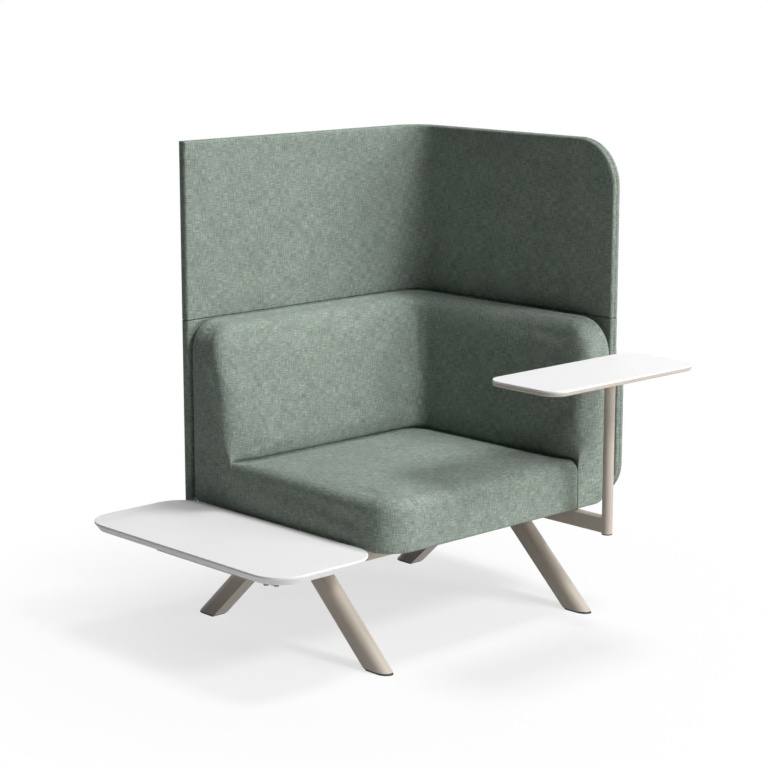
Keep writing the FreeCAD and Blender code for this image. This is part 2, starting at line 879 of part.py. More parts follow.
def make_carrier_bolts():
    bolts = []
    for x, y in carrier_bolt_places():
        seat = Vector(x, y, carrier_top - carrier_bolt_head_height)
        tip = Vector(x, y, rail_top - tube_wall - bolt_end_in_tube)
        bolts.append(fastener(tip, seat, bolt_radius, bolt_head_radius, carrier_bolt_head_height))
    return Part.makeCompound(bolts)


def make_table_screws():
    screws = []
    for x, y in table_screw_places():
        seat = Vector(x, y, rail_top)
        tip = Vector(x, y, carrier_top + table_screw_bite)
        screws.append(fastener(tip, seat, screw_radius, screw_head_radius, screw_head_height))
    return Part.makeCompound(screws)


def make_table_buffers():
    """Round buffers along the front left corner of the side table's underside."""
    buffers = []
    reach = side_table_corner - side_table_undercut - buffer_edge_inset
    for turn in buffer_turns:
        angle = math.radians(turn)
        x = side_table_left + side_table_corner - reach * math.cos(angle)
        y = side_table_front + side_table_corner - reach * math.sin(angle)
        top = Vector(x, y, carrier_top)
        buffers.append(rod(buffer_radius, top - Vector(0, 0, buffer_height), top))
    return Part.makeCompound(buffers)


# Mast and swivel table

def on_mast(z):
    return Vector(mast_x, mast_y, z)


def make_mast():
    return drill(rod(mast_radius, on_mast(mast_bottom), on_mast(mast_top)), mast_bore,
                 on_mast(mast_bottom), on_mast(mast_top))


def make_mast_plug():
    flange = rod(mast_radius, on_mast(mast_bottom - plug_flange), on_mast(mast_bottom))
    insert = rod(mast_bore - running_clearance, on_mast(mast_bottom), on_mast(mast_bottom + plug_insert))
    return flange.fuse(insert)


def make_upper_bush():
    sleeve = rod(mast_bore - running_clearance, on_mast(mast_top - upper_bush_length), on_mast(mast_top))
    flange = rod(mast_radius, on_mast(mast_top), on_mast(mast_top + bush_flange))
    low = on_mast(mast_top - upper_bush_length)
    return drill(sleeve.fuse(flange), spindle_radius + running_clearance, low, on_mast(hub_bottom))


def make_lower_bush():
    low = on_mast(lower_bush_bottom)
    high = on_mast(lower_bush_bottom + lower_bush_length)
    return drill(rod(mast_bore - running_clearance, low, high), spindle_radius + running_clearance, low, high)


def ring_span():
    top = lower_bush_bottom - ring_below_bush
    return on_mast(top - ring_thickness), on_mast(top)


def make_spindle():
    pin = rod(spindle_radius, on_mast(spindle_bottom), on_mast(hub_bottom))
    low, high = ring_span()
    groove = drill(rod(spindle_radius + ring_groove, low, high), spindle_radius - ring_groove, low, high)
    hub = rod(hub_radius, on_mast(hub_bottom), on_mast(tray_bottom))
    for x, y in hub_screw_places():
        hub = drill(hub, screw_radius + hole_clearance, Vector(x, y, hub_bottom), Vector(x, y, tray_bottom))
    return pin.cut(groove).fuse(hub).removeSplitter()


def make_retaining_ring():
    low, high = ring_span()
    inner = spindle_radius - ring_groove + thread_clearance
    return drill(rod(inner + ring_width, low, high), inner, low, high)


def hub_screw_places():
    turns = [2 * math.pi * (i + 0.5) / hub_screw_count for i in range(hub_screw_count)]
    return [(mast_x + hub_screw_circle * math.cos(t), mast_y + hub_screw_circle * math.sin(t)) for t in turns]


def tray_screw_places():
    left = mast_x - swivel_left_reach + tray_screw_inset
    right = mast_x + swivel_right_reach - tray_screw_inset
    front = mast_y - swivel_front_reach + tray_screw_inset
    rear = mast_y + swivel_rear_reach - tray_screw_inset
    return [(x, y) for x in spread(left, right, 3) for y in (front, rear)]


def make_swivel_tray():
    left = mast_x - swivel_left_reach + tray_inset
    right = mast_x + swivel_right_reach - tray_inset
    front = mast_y - swivel_front_reach + tray_inset
    rear = mast_y + swivel_rear_reach - tray_inset
    tray_top = tray_bottom + tray_thickness
    tray = rounded_plate(left, front, right, rear, tray_bottom, tray_top, swivel_corner - tray_inset)
    tray = soften_rim(tray, tray_bottom, tray_edge_radius)
    for x, y in hub_screw_places():
        low = Vector(x, y, tray_bottom)
        tray = drill(tray, screw_radius + thread_clearance, low, low + Vector(0, 0, hub_screw_bite))
    for x, y in tray_screw_places():
        tray = drill(tray, screw_radius + hole_clearance, Vector(x, y, tray_bottom), Vector(x, y, tray_top))
    return tray


def make_swivel_table_top():
    bottom = swivel_top - swivel_thickness
    left = mast_x - swivel_left_reach
    right = mast_x + swivel_right_reach
    plate = rounded_plate(left, mast_y - swivel_front_reach, right, mast_y + swivel_rear_reach,
                          bottom, swivel_top, swivel_corner)
    plate = soften_rim(plate, swivel_top, table_edge_softening)
    for x, y in tray_screw_places():
        low = Vector(x, y, bottom)
        plate = drill(plate, screw_radius + thread_clearance, low, low + Vector(0, 0, tray_screw_bite))
    return plate


def make_hub_screws():
    screws = []
    for x, y in hub_screw_places():
        tip = Vector(x, y, tray_bottom + hub_screw_bite)
        seat = Vector(x, y, hub_bottom)
        screws.append(fastener(tip, seat, screw_radius, hub_screw_head_radius, screw_head_height))
    return Part.makeCompound(screws)


def make_tray_screws():
    screws = []
    for x, y in tray_screw_places():
        tip = Vector(x, y, tray_bottom + tray_thickness + tray_screw_bite)
        seat = Vector(x, y, tray_bottom)
        screws.append(fastener(tip, seat, screw_radius, screw_head_radius, screw_head_height))
    return Part.makeCompound(screws)


def make_pieces():
    """Every piece of the sofa by name."""
    pieces = {
        "seat_cushion": make_seat_cushion(),
        "seat_board": make_seat_board(),
        "back_arm_cushion": make_wedge_cushion(),
        "back_board": make_back_board(),
        "arm_board": make_arm_board(),
        "base_board": make_base_board(),
        "seat_screws": board_screws(seat_screw_places(), seat_screw_bite),
        "carcass_screws": board_screws(upright_screw_places(), upright_screw_bite),
        "upper_screen_cover": make_upper_screen_cover(),
        "lower_screen_cover": make_lower_screen_cover(),
        "upper_screen_core": make_upper_screen_core(),
        "lower_screen_core": make_lower_screen_core(),
        "screen_dowels": make_screen_dowels(),
        "screen_spacers": make_screen_spacers(),
        "screen_bolts": make_screen_bolts(),
        "front_rail": make_rail(front_rail_place),
        "rear_rail": make_rail(rear_rail_place),
        "left_beam": make_left_beam(),
        "right_beam": make_right_beam(),
        "rail_end_caps": make_rail_end_caps(),
        "leg_bolts": make_leg_bolts(),
        "seat_spacers": make_seat_spacers(),
        "frame_bolts": make_frame_bolts(),
        "side_table_top": make_side_table_top(),
        "table_carrier": make_table_carrier(),
        "carrier_bolts": make_carrier_bolts(),
        "table_screws": make_table_screws(),
        "table_buffers": make_table_buffers(),
        "mast": make_mast(),
        "mast_plug": make_mast_plug(),
        "upper_bush": make_upper_bush(),
        "lower_bush": make_lower_bush(),
        "spindle": make_spindle(),
        "retaining_ring": make_retaining_ring(),
        "swivel_tray": make_swivel_tray(),
        "swivel_table_top": make_swivel_table_top(),
        "hub_screws": make_hub_screws(),
        "tray_screws": make_tray_screws(),
    }
    for name, x, side in leg_places():
        pieces[name + "_leg"] = make_leg(x, side)
        pieces[name + "_glide"] = make_glide(x, side)
    return pieces


os.makedirs("parts", exist_ok=True)
for name, shape in make_pieces().items():
    shape.translate(-origin)
    shape.exportStep("parts/" + name + ".step")
    print(name, len(shape.Solids), shape.isValid(), round(shape.Volume))
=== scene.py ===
import math

import bpy
import numpy as np
from mathutils import Euler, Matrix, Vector


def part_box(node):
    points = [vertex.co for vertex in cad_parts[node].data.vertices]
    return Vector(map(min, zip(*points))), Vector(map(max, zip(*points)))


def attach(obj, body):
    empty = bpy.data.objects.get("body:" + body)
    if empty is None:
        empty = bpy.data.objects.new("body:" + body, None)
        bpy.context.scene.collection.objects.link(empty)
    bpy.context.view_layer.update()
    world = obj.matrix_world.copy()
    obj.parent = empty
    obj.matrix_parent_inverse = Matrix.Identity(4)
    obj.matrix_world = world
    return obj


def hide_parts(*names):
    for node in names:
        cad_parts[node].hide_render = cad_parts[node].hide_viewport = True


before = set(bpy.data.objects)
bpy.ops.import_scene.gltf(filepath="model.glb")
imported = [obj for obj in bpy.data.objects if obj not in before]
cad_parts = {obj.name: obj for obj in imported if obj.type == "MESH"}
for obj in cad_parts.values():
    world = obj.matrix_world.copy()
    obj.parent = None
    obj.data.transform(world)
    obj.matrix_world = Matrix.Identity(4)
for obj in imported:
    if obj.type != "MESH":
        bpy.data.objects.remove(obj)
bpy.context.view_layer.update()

bl_info = {
    "name": "Privacy booth sofa",
    "version": (1, 0, 0),
    "blender": (4, 5, 0),
    "location": "3D View > Sidebar > Booth Sofa",
    "description": "Upholstery, finishes and studio for a privacy booth sofa",
    "category": "Object",
}

SOFA = "sofa"
WEAVE_MAP = "weave"
WHITE = (1, 1, 1, 1)
MM = 0.001
TINY = 1e-6

ARC_STEPS = 8  # cells round a cushion's upright corner
WEDGE_CELLS = 9  # cells through the back and the arm
SEAT_LEAST, WEDGE_LEAST = 0.004, 0.0006  # least height of a row of cells
FOAM_FRAMES = 20  # frames in which the foam swells
HOLD_NEAR, HOLD_FAR = 0.004, 0.03  # distances from a support at which a cushion is held fast and is free
HOLD_OVER_SEAT = 0.05  # height over the seat at which the back and the arm are free
# Where the back's left end stands back: along the back, before and behind its face, and over the seat.
RECEDE_WIDTH, RECEDE_DEPTH, RECEDE_START, RECEDE_END = 0.1, 0.15, 0.03, 0.22
# Where the seat presses the arm aside: across the seat, along the arm and over the seat.
PRESS_WIDTH, PRESS_DEPTH, PRESS_HEIGHT = 0.12, 0.08, 0.14
ROLL_DEPTH = 0.04  # how far below the seat's top the roll goes on
CROWN_FALL = 3  # power by which the seat's crown falls off towards its edges
CREASE_REACH = 0.01  # how far into the seat its crease is closed
ARM_EDGE_SHARE = 0.45  # most of the arm's width that its edge beside the screen takes


def linear(code):
    """Linear RGBA of an sRGB hex colour."""
    channels = [int(code[i:i + 2], 16) / 255 for i in (1, 3, 5)]
    return [c / 12.92 if c <= 0.04045 else ((c + 0.055) / 1.055) ** 2.4 for c in channels] + [1.0]


def number(name, description, value, **kind):
    """A number that the user can change."""
    return bpy.props.FloatProperty(name=name, description=description, default=value, **kind)


def length(name, description, metres):
    """A length that the user can change."""
    return number(name, description, metres, min=0.0, unit="LENGTH", precision=4)


def spot(name, description, place):
    """A place on the stage that the user can change."""
    return bpy.props.FloatVectorProperty(name=name, description=description, default=place,
                                         subtype="TRANSLATION")


def colour(name, description, code):
    """A colour that the user can change."""
    return bpy.props.FloatVectorProperty(name=name, description=description, default=linear(code), size=4,
                                         min=0.0, max=1.0, subtype="COLOR")


class BoothUpholstery(bpy.types.PropertyGroup):
    """Sizes and yarns of the cushions and the screen"""
    dark_yarn: colour("Dark yarn", "Darkest yarn of the weave", "#6d796f")
    main_yarn: colour("Main yarn", "Most common yarn of the weave", "#859186")
    pale_yarn: colour("Pale yarn", "Lightest yarn of the weave", "#a7b1a9")
    seam_thread: colour("Seam thread", "Thread of the stitched seams", "#272e28")
    yarn_width: length("Yarn width", "Width of one drawn yarn", 0.0015)
    slub_length: length("Slub length", "Length of a yarn's light and dark stretches", 0.025)
    cell: length("Mesh cell", "Size of a cushion's mesh cells", 0.013)
    ease: length("Ease", "How much smaller the foam starts than its cover", 0.002)
    swell: length("Swell", "Most that the foam stands out of its first shape", 0.005)
    seat_thickness: length("Seat thickness", "From the base board to the top of the seat's edge", 0.131)
    seat_crown: length("Seat crown", "Rise of the seat's middle", 0.006)
    seat_edge: length("Seat edge", "Radius of the seat's upper edge", 0.035)
    seat_corner: length("Seat corner", "Radius of the seat's front left corner", 0.09)
    crease: length("Crease", "Radius of the seat's edge along the back and the arm", 0.005)
    roll: length("Roll", "How far the back and the arm roll under along the seat", 0.018)
    roll_height: length("Roll height", "Height over the seat where that roll starts", 0.03)
    seam_run: length("Seam run", "Distance over which the crease fades out at its two ends", 0.03)
    recede: length("Recede", "How far the back's left end stands back where it meets the seat", 0.017)
    hem: length("Hem", "Radius of the cushions' lower edges", 0.009)
    side_seam: length("Side seam", "Radius where the seat and the back meet on the left", 0.0006)
    arm_seam: length("Arm seam", "Radius where the seat and the arm meet at the front", 0.0015)
    gap: length("Gap", "Gap between the seat and the back", 0.0015)
    wrap: length("Wrap", "How far the covers reach down over the base board", 0.009)
    tuck: number("Tuck", "Share of the seat edge's radius left at the back", 0.3, subtype="FACTOR")
    press: length("Press", "How far the seat's front corner presses the arm aside", 0.02)
    back_edge: length("Back edge", "Radius of the back's front upper edge", 0.034)
    back_rear_edge: length("Back rear edge", "Radius of the back's rear upper edge", 0.012)
    back_end: length("Back end", "Radius of the back's upper left corner", 0.08)
    arm_end: length("Arm end", "Radius of the arm's upper front corner", 0.105)
    back_hem: length("Back hem", "Radius of the back's lower rear edge", 0.03)
    arm_hem: length("Arm hem", "Radius of the arm's lower outer edge", 0.05)
    inner_corner: length("Inner corner", "Radius between the back and the arm", 0.05)
    outer_corner: length("Outer corner", "Radius behind the back and the arm", 0.053)
    end_edge: length("End edge", "Radius of the upright front edges", 0.028)
    arm_edge: length("Arm edge", "Radius of the arm's upright edge beside the screen", 0.03)
    rear_edge: length("Rear edge", "Radius of the back's upright rear edge", 0.008)
    edge_blend: length("Edge blend", "Height over which the side seam opens into the end edge", 0.06)
    back_recline: number("Back recline", "Lean of the back", math.radians(13.2), subtype="ANGLE")
    arm_recline: number("Arm recline", "Lean of the arm", math.radians(11.0), subtype="ANGLE")
    screen_top_corner: length("Screen top corner", "Radius of the screen's upper front corner", 0.132)
    screen_low_corner: length("Screen low corner", "Radius of the screen's lower front corner", 0.108)
    screen_thickness: length("Screen thickness", "Thickness of the screen with its padding", 0.028)
    screen_bend: length("Screen bend", "Outer radius of the bend between the screen's two sides", 0.1)
    step_top: length("Step top", "Height where the lower band's front end starts to swell forward", 0.72)
    step_bottom: length("Step bottom", "Height where the swell of the lower band's front end is full", 0.61)
    screen_edge: length("Screen edge", "Radius of the screen's padded edges", 0.0065)
    screen_seam: length("Screen seam", "Radius of the edges along the seam between the bands", 0.0012)
    screen_padding: length("Screen padding", "How far the padding stands out in the middle of a band", 0.0012)
    rim_groove: length("Rim groove", "Depth of the seam in the screen's rim", 0.0026)
    stitch_pitch: length("Stitch pitch", "Distance from stitch to stitch", 0.0075)
    stitch_length: length("Stitch length", "Length of a stitch that shows", 0.0052)
    stitch_width: length("Stitch width", "Thickness of the seam thread", 0.0023)


class BoothFinishes(bpy.types.PropertyGroup):
    """Colours of the frame, the tables and the fittings"""
    paint: colour("Frame paint", "Powder coat of the frame and the mast", "#c0b6a9")
    laminate: colour("Table laminate", "Upper face of both tables", "#f0f0f0")
    plastic: colour("Fittings", "Glides, caps and spacers", "#1d1d1d")
    rubber: colour("Buffers", "Rubber under the side table", "#8f877d")
    # The lining's near-black is a real dust cloth under the board, and it is also painted shade in the gap
    # under the seat.
    lining_and_shade: colour("Lining", "Dark cloth under the base board", "#23231f")
    bearing: colour("Bearing plastic", "Bushes in the mast", "#3a3a3b")
    plywood: colour("Plywood", "Boards under the upholstery", "#c2a27a")
    plywood_grain: colour("Plywood grain", "Dark grain of the boards", "#97744c")
    zinc: colour("Zinc plate", "Screws and bolts", "#b9bcbf")


class BoothStage(bpy.types.PropertyGroup):
    """Camera, light and floor"""
    camera_place: spot("Camera place", "Where the camera stands", (-3.8892, -4.0767, 1.8037))
    camera_yaw: number("Camera yaw", "Turn of the camera from the back wall", math.radians(-43.28),
                       subtype="ANGLE")
    camera_tilt: number("Camera tilt", "How far the camera looks down", math.radians(11.386), subtype="ANGLE")
    lens: number("Lens", "Focal length on a 36 mm sensor", 100.28, unit="CAMERA")
    floor_tone: colour("Floor", "Colour of the floor", "#f4f4f4")
    floor_bounce: colour("Floor bounce", "Colour that the floor throws back on the sofa", "#dadada")
    floor_white: number("Floor white", "Share of plain white that the floor shows under the sofa", 0.69,
                        subtype="FACTOR")
    fade_start: length("Fade start", "Distance from the middle where the floor starts to turn white", 0.35)
    fade_end: length("Fade end", "Distance from the middle where the floor is plain white", 1.5)
    light_target: spot("Light target", "Where all the lights point", (0.1, 0.0, 0.6))
    key_place: spot("Key light place", "Place of the light high at the front", (1.62, -8.64, 8.78))
    key_size: length("Key light size", "Width of the light high at the front", 2.6)
    key_power: number("Key light", "Power of the light high at the front", 860.0, unit="POWER")
    front_place: spot("Front light place", "Place of the low light at the front", (4.50, -10.88, 3.10))
    front_size: length("Front light size", "Width of the low light at the front", 4.5)
    front_power: number("Front light", "Power of the low light at the front", 680.0, unit="POWER")
    top_place: spot("Top light place", "Place of the light high over the right", (3.81, 0.0, 12.01))
    top_size: length("Top light size", "Width of the light high over the right", 3.0)
    top_power: number("Top light", "Power of the light high over the right", 740.0, unit="POWER")
    fill: number("Fill", "Strength of the even light all round", 0.004)


def add_node(tree, kind, inputs=None, **settings):
    """Adds a node with its settings, and links or fills its inputs.
    A Mix node's inputs go by number: 0 is the share, 2 and 3 are values, 6 and 7 are colours."""
    node = tree.nodes.new(kind)
    for key, value in settings.items():
        setattr(node, key, value)
    for key, value in (inputs or {}).items():
        if isinstance(value, bpy.types.NodeSocket):
            tree.links.new(value, node.inputs[key])
        else:
            node.inputs[key].default_value = value
    return node


def new_material(name):
    """An empty node material and its tree."""
    material = bpy.data.materials.get(name)
    if material is None:
        material = bpy.data.materials.new(name)
    material.use_nodes = True
    material.node_tree.nodes.clear()
    return material, material.node_tree


def melange_weave(settings):
    """Melange wool upholstery, plain woven from yarns of mixed tones and lightly felted.
    The eye sees short light and dark slubs along both yarns, a dry surface and a soft bloom at the edges."""
    material, tree = new_material("melange_wool_weave")
    place = add_node(tree, "ShaderNodeUVMap", uv_map=WEAVE_MAP).outputs["UV"]
    # The real yarn is about 1 mm and too fine to show, so it is drawn at half as much again.
    fine = 1 / settings.yarn_width
    coarse = 1 / settings.slub_length
    # The weft is shifted so that it doesn't repeat the warp.
    slubs = []
    for scale, shift in (((fine, coarse, 1), (0, 0, 0)), ((coarse, fine, 1), (37.0, 11.0, 0))):
        laid = add_node(tree, "ShaderNodeMapping", {"Vector": place, "Scale": scale, "Location": shift})
        slubs.append(add_node(tree, "ShaderNodeTexNoise", {
            "Vector": laid.outputs[0], "Scale": 1.0, "Detail": 1.0}, noise_dimensions="2D").outputs[0])
    yarns = add_node(tree, "ShaderNodeMix", {0: 0.5, 2: slubs[0], 3: slubs[1]}, data_type="FLOAT")
    fibre = add_node(tree, "ShaderNodeTexNoise", {"Vector": place, "Scale": fine, "Detail": 1.0},
                     noise_dimensions="2D")
    tones = add_node(tree, "ShaderNodeMix", {0: 0.4, 2: yarns.outputs[0], 3: fibre.outputs[0]},
                     data_type="FLOAT")
    ramp = add_node(tree, "ShaderNodeValToRGB", {"Fac": tones.outputs[0]})
    stops = ramp.color_ramp.elements
    stops[0].position, stops[0].color = 0.405, settings.dark_yarn
    stops[1].position, stops[1].color = 0.595, settings.pale_yarn
    stops.new(0.5).color = settings.main_yarn
    # Dye lots drift a little from one hand's width to the next.
    drift = add_node(tree, "ShaderNodeTexNoise", {"Vector": place, "Scale": 1 / (71.4 * MM), "Detail": 2.0},
                     noise_dimensions="2D")
    tone = add_node(tree, "ShaderNodeMapRange", {"Value": drift.outputs[0], "From Min": 0.3, "From Max": 0.7,
                                                 "To Min": 0.94, "To Max": 1.05})
    cloth = add_node(tree, "ShaderNodeMix", {0: 1.0, 6: ramp.outputs[0], 7: tone.outputs[0]},
                     data_type="RGBA", blend_type="MULTIPLY")
    relief = add_node(tree, "ShaderNodeBump", {"Height": tones.outputs[0], "Strength": 0.5,
                                               "Distance": 1.2 * MM})
    shader = add_node(tree, "ShaderNodeBsdfPrincipled", {
        "Base Color": cloth.outputs[2], "Normal": relief.outputs[0], "Roughness": 0.93,
        "Specular IOR Level": 0.03, "Sheen Weight": 0.08, "Sheen Roughness": 0.6})
    add_node(tree, "ShaderNodeOutputMaterial", {"Surface": shader.outputs[0]})
    return material


def seam_thread(settings):
    """Bonded polyester sewing thread: a tight twist of about a millimetre with a dull shine, its sides in
    painted shade.
    """
    material, tree = new_material("bonded_polyester_thread")
    place = add_node(tree, "ShaderNodeTexCoord").outputs["Object"]
    twist = add_node(tree, "ShaderNodeTexNoise", {"Vector": place, "Scale": 1 / (1.11 * MM), "Detail": 1.0})
    # The darker copy of the thread colour is painted shade on the sides of the twist, mixed in by the twist's
    # noise.
    dark = [0.7 * c for c in settings.seam_thread[:3]] + [1.0]
    tone = add_node(tree, "ShaderNodeMix", {0: twist.outputs[0], 6: dark, 7: settings.seam_thread},
                    data_type="RGBA")
    shader = add_node(tree, "ShaderNodeBsdfPrincipled", {"Base Color": tone.outputs[2], "Roughness": 0.6})
    add_node(tree, "ShaderNodeOutputMaterial", {"Surface": shader.outputs[0]})
    return material


def powder_coat(settings):
    """Polyester powder coat on steel tube: an even satin colour with a faint orange peel."""
    material, tree = new_material("taupe_powder_coat")
    place = add_node(tree, "ShaderNodeTexCoord").outputs["Object"]
    peel = add_node(tree, "ShaderNodeTexNoise", {"Vector": place, "Scale": 1 / (2.38 * MM), "Detail": 1.5})
    relief = add_node(tree, "ShaderNodeBump", {"Height": peel.outputs[0], "Strength": 0.12,
                                               "Distance": 0.6 * MM})
    cloud = add_node(tree, "ShaderNodeTexNoise", {"Vector": place, "Scale": 1 / (167 * MM), "Detail": 2.0})
    shade = add_node(tree, "ShaderNodeMapRange", {"Value": cloud.outputs[0], "To Min": 0.96, "To Max": 1.03})
    tone = add_node(tree, "ShaderNodeMix", {0: 1.0, 6: settings.paint, 7: shade.outputs[0]},
                    data_type="RGBA", blend_type="MULTIPLY")
    gloss = add_node(tree, "ShaderNodeMapRange", {"Value": peel.outputs[0], "To Min": 0.38, "To Max": 0.5})
    shader = add_node(tree, "ShaderNodeBsdfPrincipled", {
        "Base Color": tone.outputs[2], "Roughness": gloss.outputs[0], "Normal": relief.outputs[0]})
    add_node(tree, "ShaderNodeOutputMaterial", {"Surface": shader.outputs[0]})
    return material


def white_laminate(settings):
    """High-pressure laminate on board: a clean white sheet pressed with a very fine grain."""
    material, tree = new_material("white_laminate")
    place = add_node(tree, "ShaderNodeTexCoord").outputs["Object"]
    grain = add_node(tree, "ShaderNodeTexNoise", {"Vector": place, "Scale": 1 / (1.43 * MM), "Detail": 2.0})
    relief = add_node(tree, "ShaderNodeBump", {"Height": grain.outputs[0], "Strength": 0.06,
                                               "Distance": 0.4 * MM})
    wear = add_node(tree, "ShaderNodeTexNoise", {"Vector": place, "Scale": 1 / (111 * MM), "Detail": 3.0})
    gloss = add_node(tree, "ShaderNodeMapRange", {"Value": wear.outputs[0], "To Min": 0.5, "To Max": 0.6})
    shade = add_node(tree, "ShaderNodeMapRange", {"Value": wear.outputs[0], "To Min": 0.985, "To Max": 1.0})
    tone = add_node(tree, "ShaderNodeMix", {0: 1.0, 6: settings.laminate, 7: shade.outputs[0]},
                    data_type="RGBA", blend_type="MULTIPLY")
    shader = add_node(tree, "ShaderNodeBsdfPrincipled", {
        "Base Color": tone.outputs[2], "Roughness": gloss.outputs[0], "Specular IOR Level": 0.15,
        "Normal": relief.outputs[0]})
    add_node(tree, "ShaderNodeOutputMaterial", {"Surface": shader.outputs[0]})
    return material


def moulded_plastic(name, tint, roughness, grit):
    """Moulded plastic or rubber: one colour with the fine grit of the mould, given in metres."""
    material, tree = new_material(name)
    place = add_node(tree, "ShaderNodeTexCoord").outputs["Object"]
    spark = add_node(tree, "ShaderNodeTexNoise", {"Vector": place, "Scale": 1 / grit, "Detail": 2.0})
    relief = add_node(tree, "ShaderNodeBump", {"Height": spark.outputs[0], "Strength": 0.2,
                                               "Distance": 0.3 * MM})
    shade = add_node(tree, "ShaderNodeMapRange", {"Value": spark.outputs[0], "To Min": 0.85, "To Max": 1.15})
    tone = add_node(tree, "ShaderNodeMix", {0: 1.0, 6: tint, 7: shade.outputs[0]},
                    data_type="RGBA", blend_type="MULTIPLY")
    shader = add_node(tree, "ShaderNodeBsdfPrincipled", {
        "Base Color": tone.outputs[2], "Roughness": roughness, "Normal": relief.outputs[0]})
    add_node(tree, "ShaderNodeOutputMaterial", {"Surface": shader.outputs[0]})
    return material


def birch_plywood(settings):
    """Raw birch plywood, peeled and sanded: pale wood with long cathedral grain."""
    material, tree = new_material("birch_plywood")
    place = add_node(tree, "ShaderNodeTexCoord").outputs["Object"]
    along, over = 1 / (250 * MM), 1 / (16.7 * MM)
    grain = add_node(tree, "ShaderNodeMapping", {"Vector": place, "Scale": (along, over, over)})
    figure = add_node(tree, "ShaderNodeTexNoise", {"Vector": grain.outputs[0], "Scale": 1.0, "Detail": 4.0,
                                                   "Distortion": 0.6})
    tone = add_node(tree, "ShaderNodeMix", {0: figure.outputs[0], 6: settings.plywood,
                                            7: settings.plywood_grain}, data_type="RGBA")
    relief = add_node(tree, "ShaderNodeBump", {"Height": figure.outputs[0], "Strength": 0.15,
                                               "Distance": 0.5 * MM})
    shader = add_node(tree, "ShaderNodeBsdfPrincipled", {
        "Base Color": tone.outputs[2], "Roughness": 0.62, "Normal": relief.outputs[0]})
    add_node(tree, "ShaderNodeOutputMaterial", {"Surface": shader.outputs[0]})
    return material


def zinc_plate(settings):
    """Zinc plated steel: a grey metal, slightly cloudy from the bath."""
    material, tree = new_material("zinc_plated_steel")
    place = add_node(tree, "ShaderNodeTexCoord").outputs["Object"]
    cloud = add_node(tree, "ShaderNodeTexNoise", {"Vector": place, "Scale": 1 / (3.33 * MM), "Detail": 2.0})
    gloss = add_node(tree, "ShaderNodeMapRange", {"Value": cloud.outputs[0], "To Min": 0.28, "To Max": 0.42})
    shade = add_node(tree, "ShaderNodeMapRange", {"Value": cloud.outputs[0], "To Min": 0.9, "To Max": 1.05})
    tone = add_node(tree, "ShaderNodeMix", {0: 1.0, 6: settings.zinc, 7: shade.outputs[0]},
                    data_type="RGBA", blend_type="MULTIPLY")
    shader = add_node(tree, "ShaderNodeBsdfPrincipled", {
        "Base Color": tone.outputs[2], "Metallic": 1.0, "Roughness": gloss.outputs[0]})
    add_node(tree, "ShaderNodeOutputMaterial", {"Surface": shader.outputs[0]})
    return material


def paint_nodes(material, names):
    """Gives a material to CAD nodes, which keep their shape."""
    for name in names:
        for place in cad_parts[name].material_slots:
            place.link = "OBJECT"
            place.material = material


def unit(vector):
    """A vector of length 1."""
    return vector / np.linalg.norm(vector)


def smooth_step(value, low, high):
    """0 at low, 1 at high and a soft change between."""
    share = np.clip((value - low) / (high - low), 0, 1)
    return share * share * (3 - 2 * share)


def quarter(radius, steps):
    """Depths below the outer end of a quarter-round edge, at even angles round it."""
    return [radius * (1 - math.cos(angle)) for angle in np.radians(np.linspace(0, 90, steps + 1))]


def edge_inset(depth, radius):
    """How far a quarter-round edge stands back at a depth below its outer end."""
    if depth >= radius:
        return 0.0
    return radius - math.sqrt(radius ** 2 - (radius - max(0.0, depth)) ** 2)


def fill_stops(stops, widest, least):
    """Sorted stops, with close ones dropped and wide gaps filled evenly."""
    kept = []
    for stop in sorted(stops):
        if kept and stop - kept[-1] < least:
            continue
        if kept:
            cells = math.ceil((stop - kept[-1]) / widest)
            kept += list(np.linspace(kept[-1], stop, cells + 1)[1:-1])
        kept.append(stop)
    return kept


def corner_arc(last, point, following, radius):
    """Points along the arc that rounds a corner."""
    back, on = unit(last - point), unit(following - point)
    half = math.acos(np.clip(back @ on, -1, 1)) / 2
    run = radius / math.tan(half)
    centre = point + unit(back + on) * radius / math.sin(half)
    start, end = point + back * run - centre, point + on * run - centre
    turn = math.pi - 2 * half
    return [centre + (math.sin((1 - t) * turn) * start + math.sin(t * turn) * end) / math.sin(turn)
            for t in np.linspace(0, 1, ARC_STEPS + 1)]


def side_path(points, radii, cells):
    """Points along one side of a loop: an arc at each inner point and even cells between the arcs."""
    arcs = [corner_arc(*points[i:i + 3], radius) for i, radius in enumerate(radii)]
    path = list(arcs[0])
    for last, arc, count in zip(arcs, arcs[1:], cells):
        path += [last[-1] + (arc[0] - last[-1]) * t for t in np.linspace(0, 1, count + 1)[1:-1]]
        path += list(arc)
    return np.array(path)


def close_loop(side_a, side_b, across):
    """One closed loop from its two long sides, with even cells at both ends."""
    shares = np.linspace(0, 1, across + 1)[1:-1, None]
    end_b = side_a[-1] + (side_b[-1] - side_a[-1]) * shares
    end_a = side_b[0] + (side_a[0] - side_b[0]) * shares
    return np.concatenate([side_a, end_b, side_b[::-1], end_a])


def grid_quads(grid, kept):
    """The quads between the lines of a grid of point numbers, turned over where kept is false."""
    for i in range(grid.shape[0] - 1):
        for j in range(grid.shape[1] - 1):
            quad = (grid[i, j], grid[i + 1, j], grid[i + 1, j + 1], grid[i, j + 1])
            yield tuple(int(v) for v in (quad if kept else quad[::-1]))


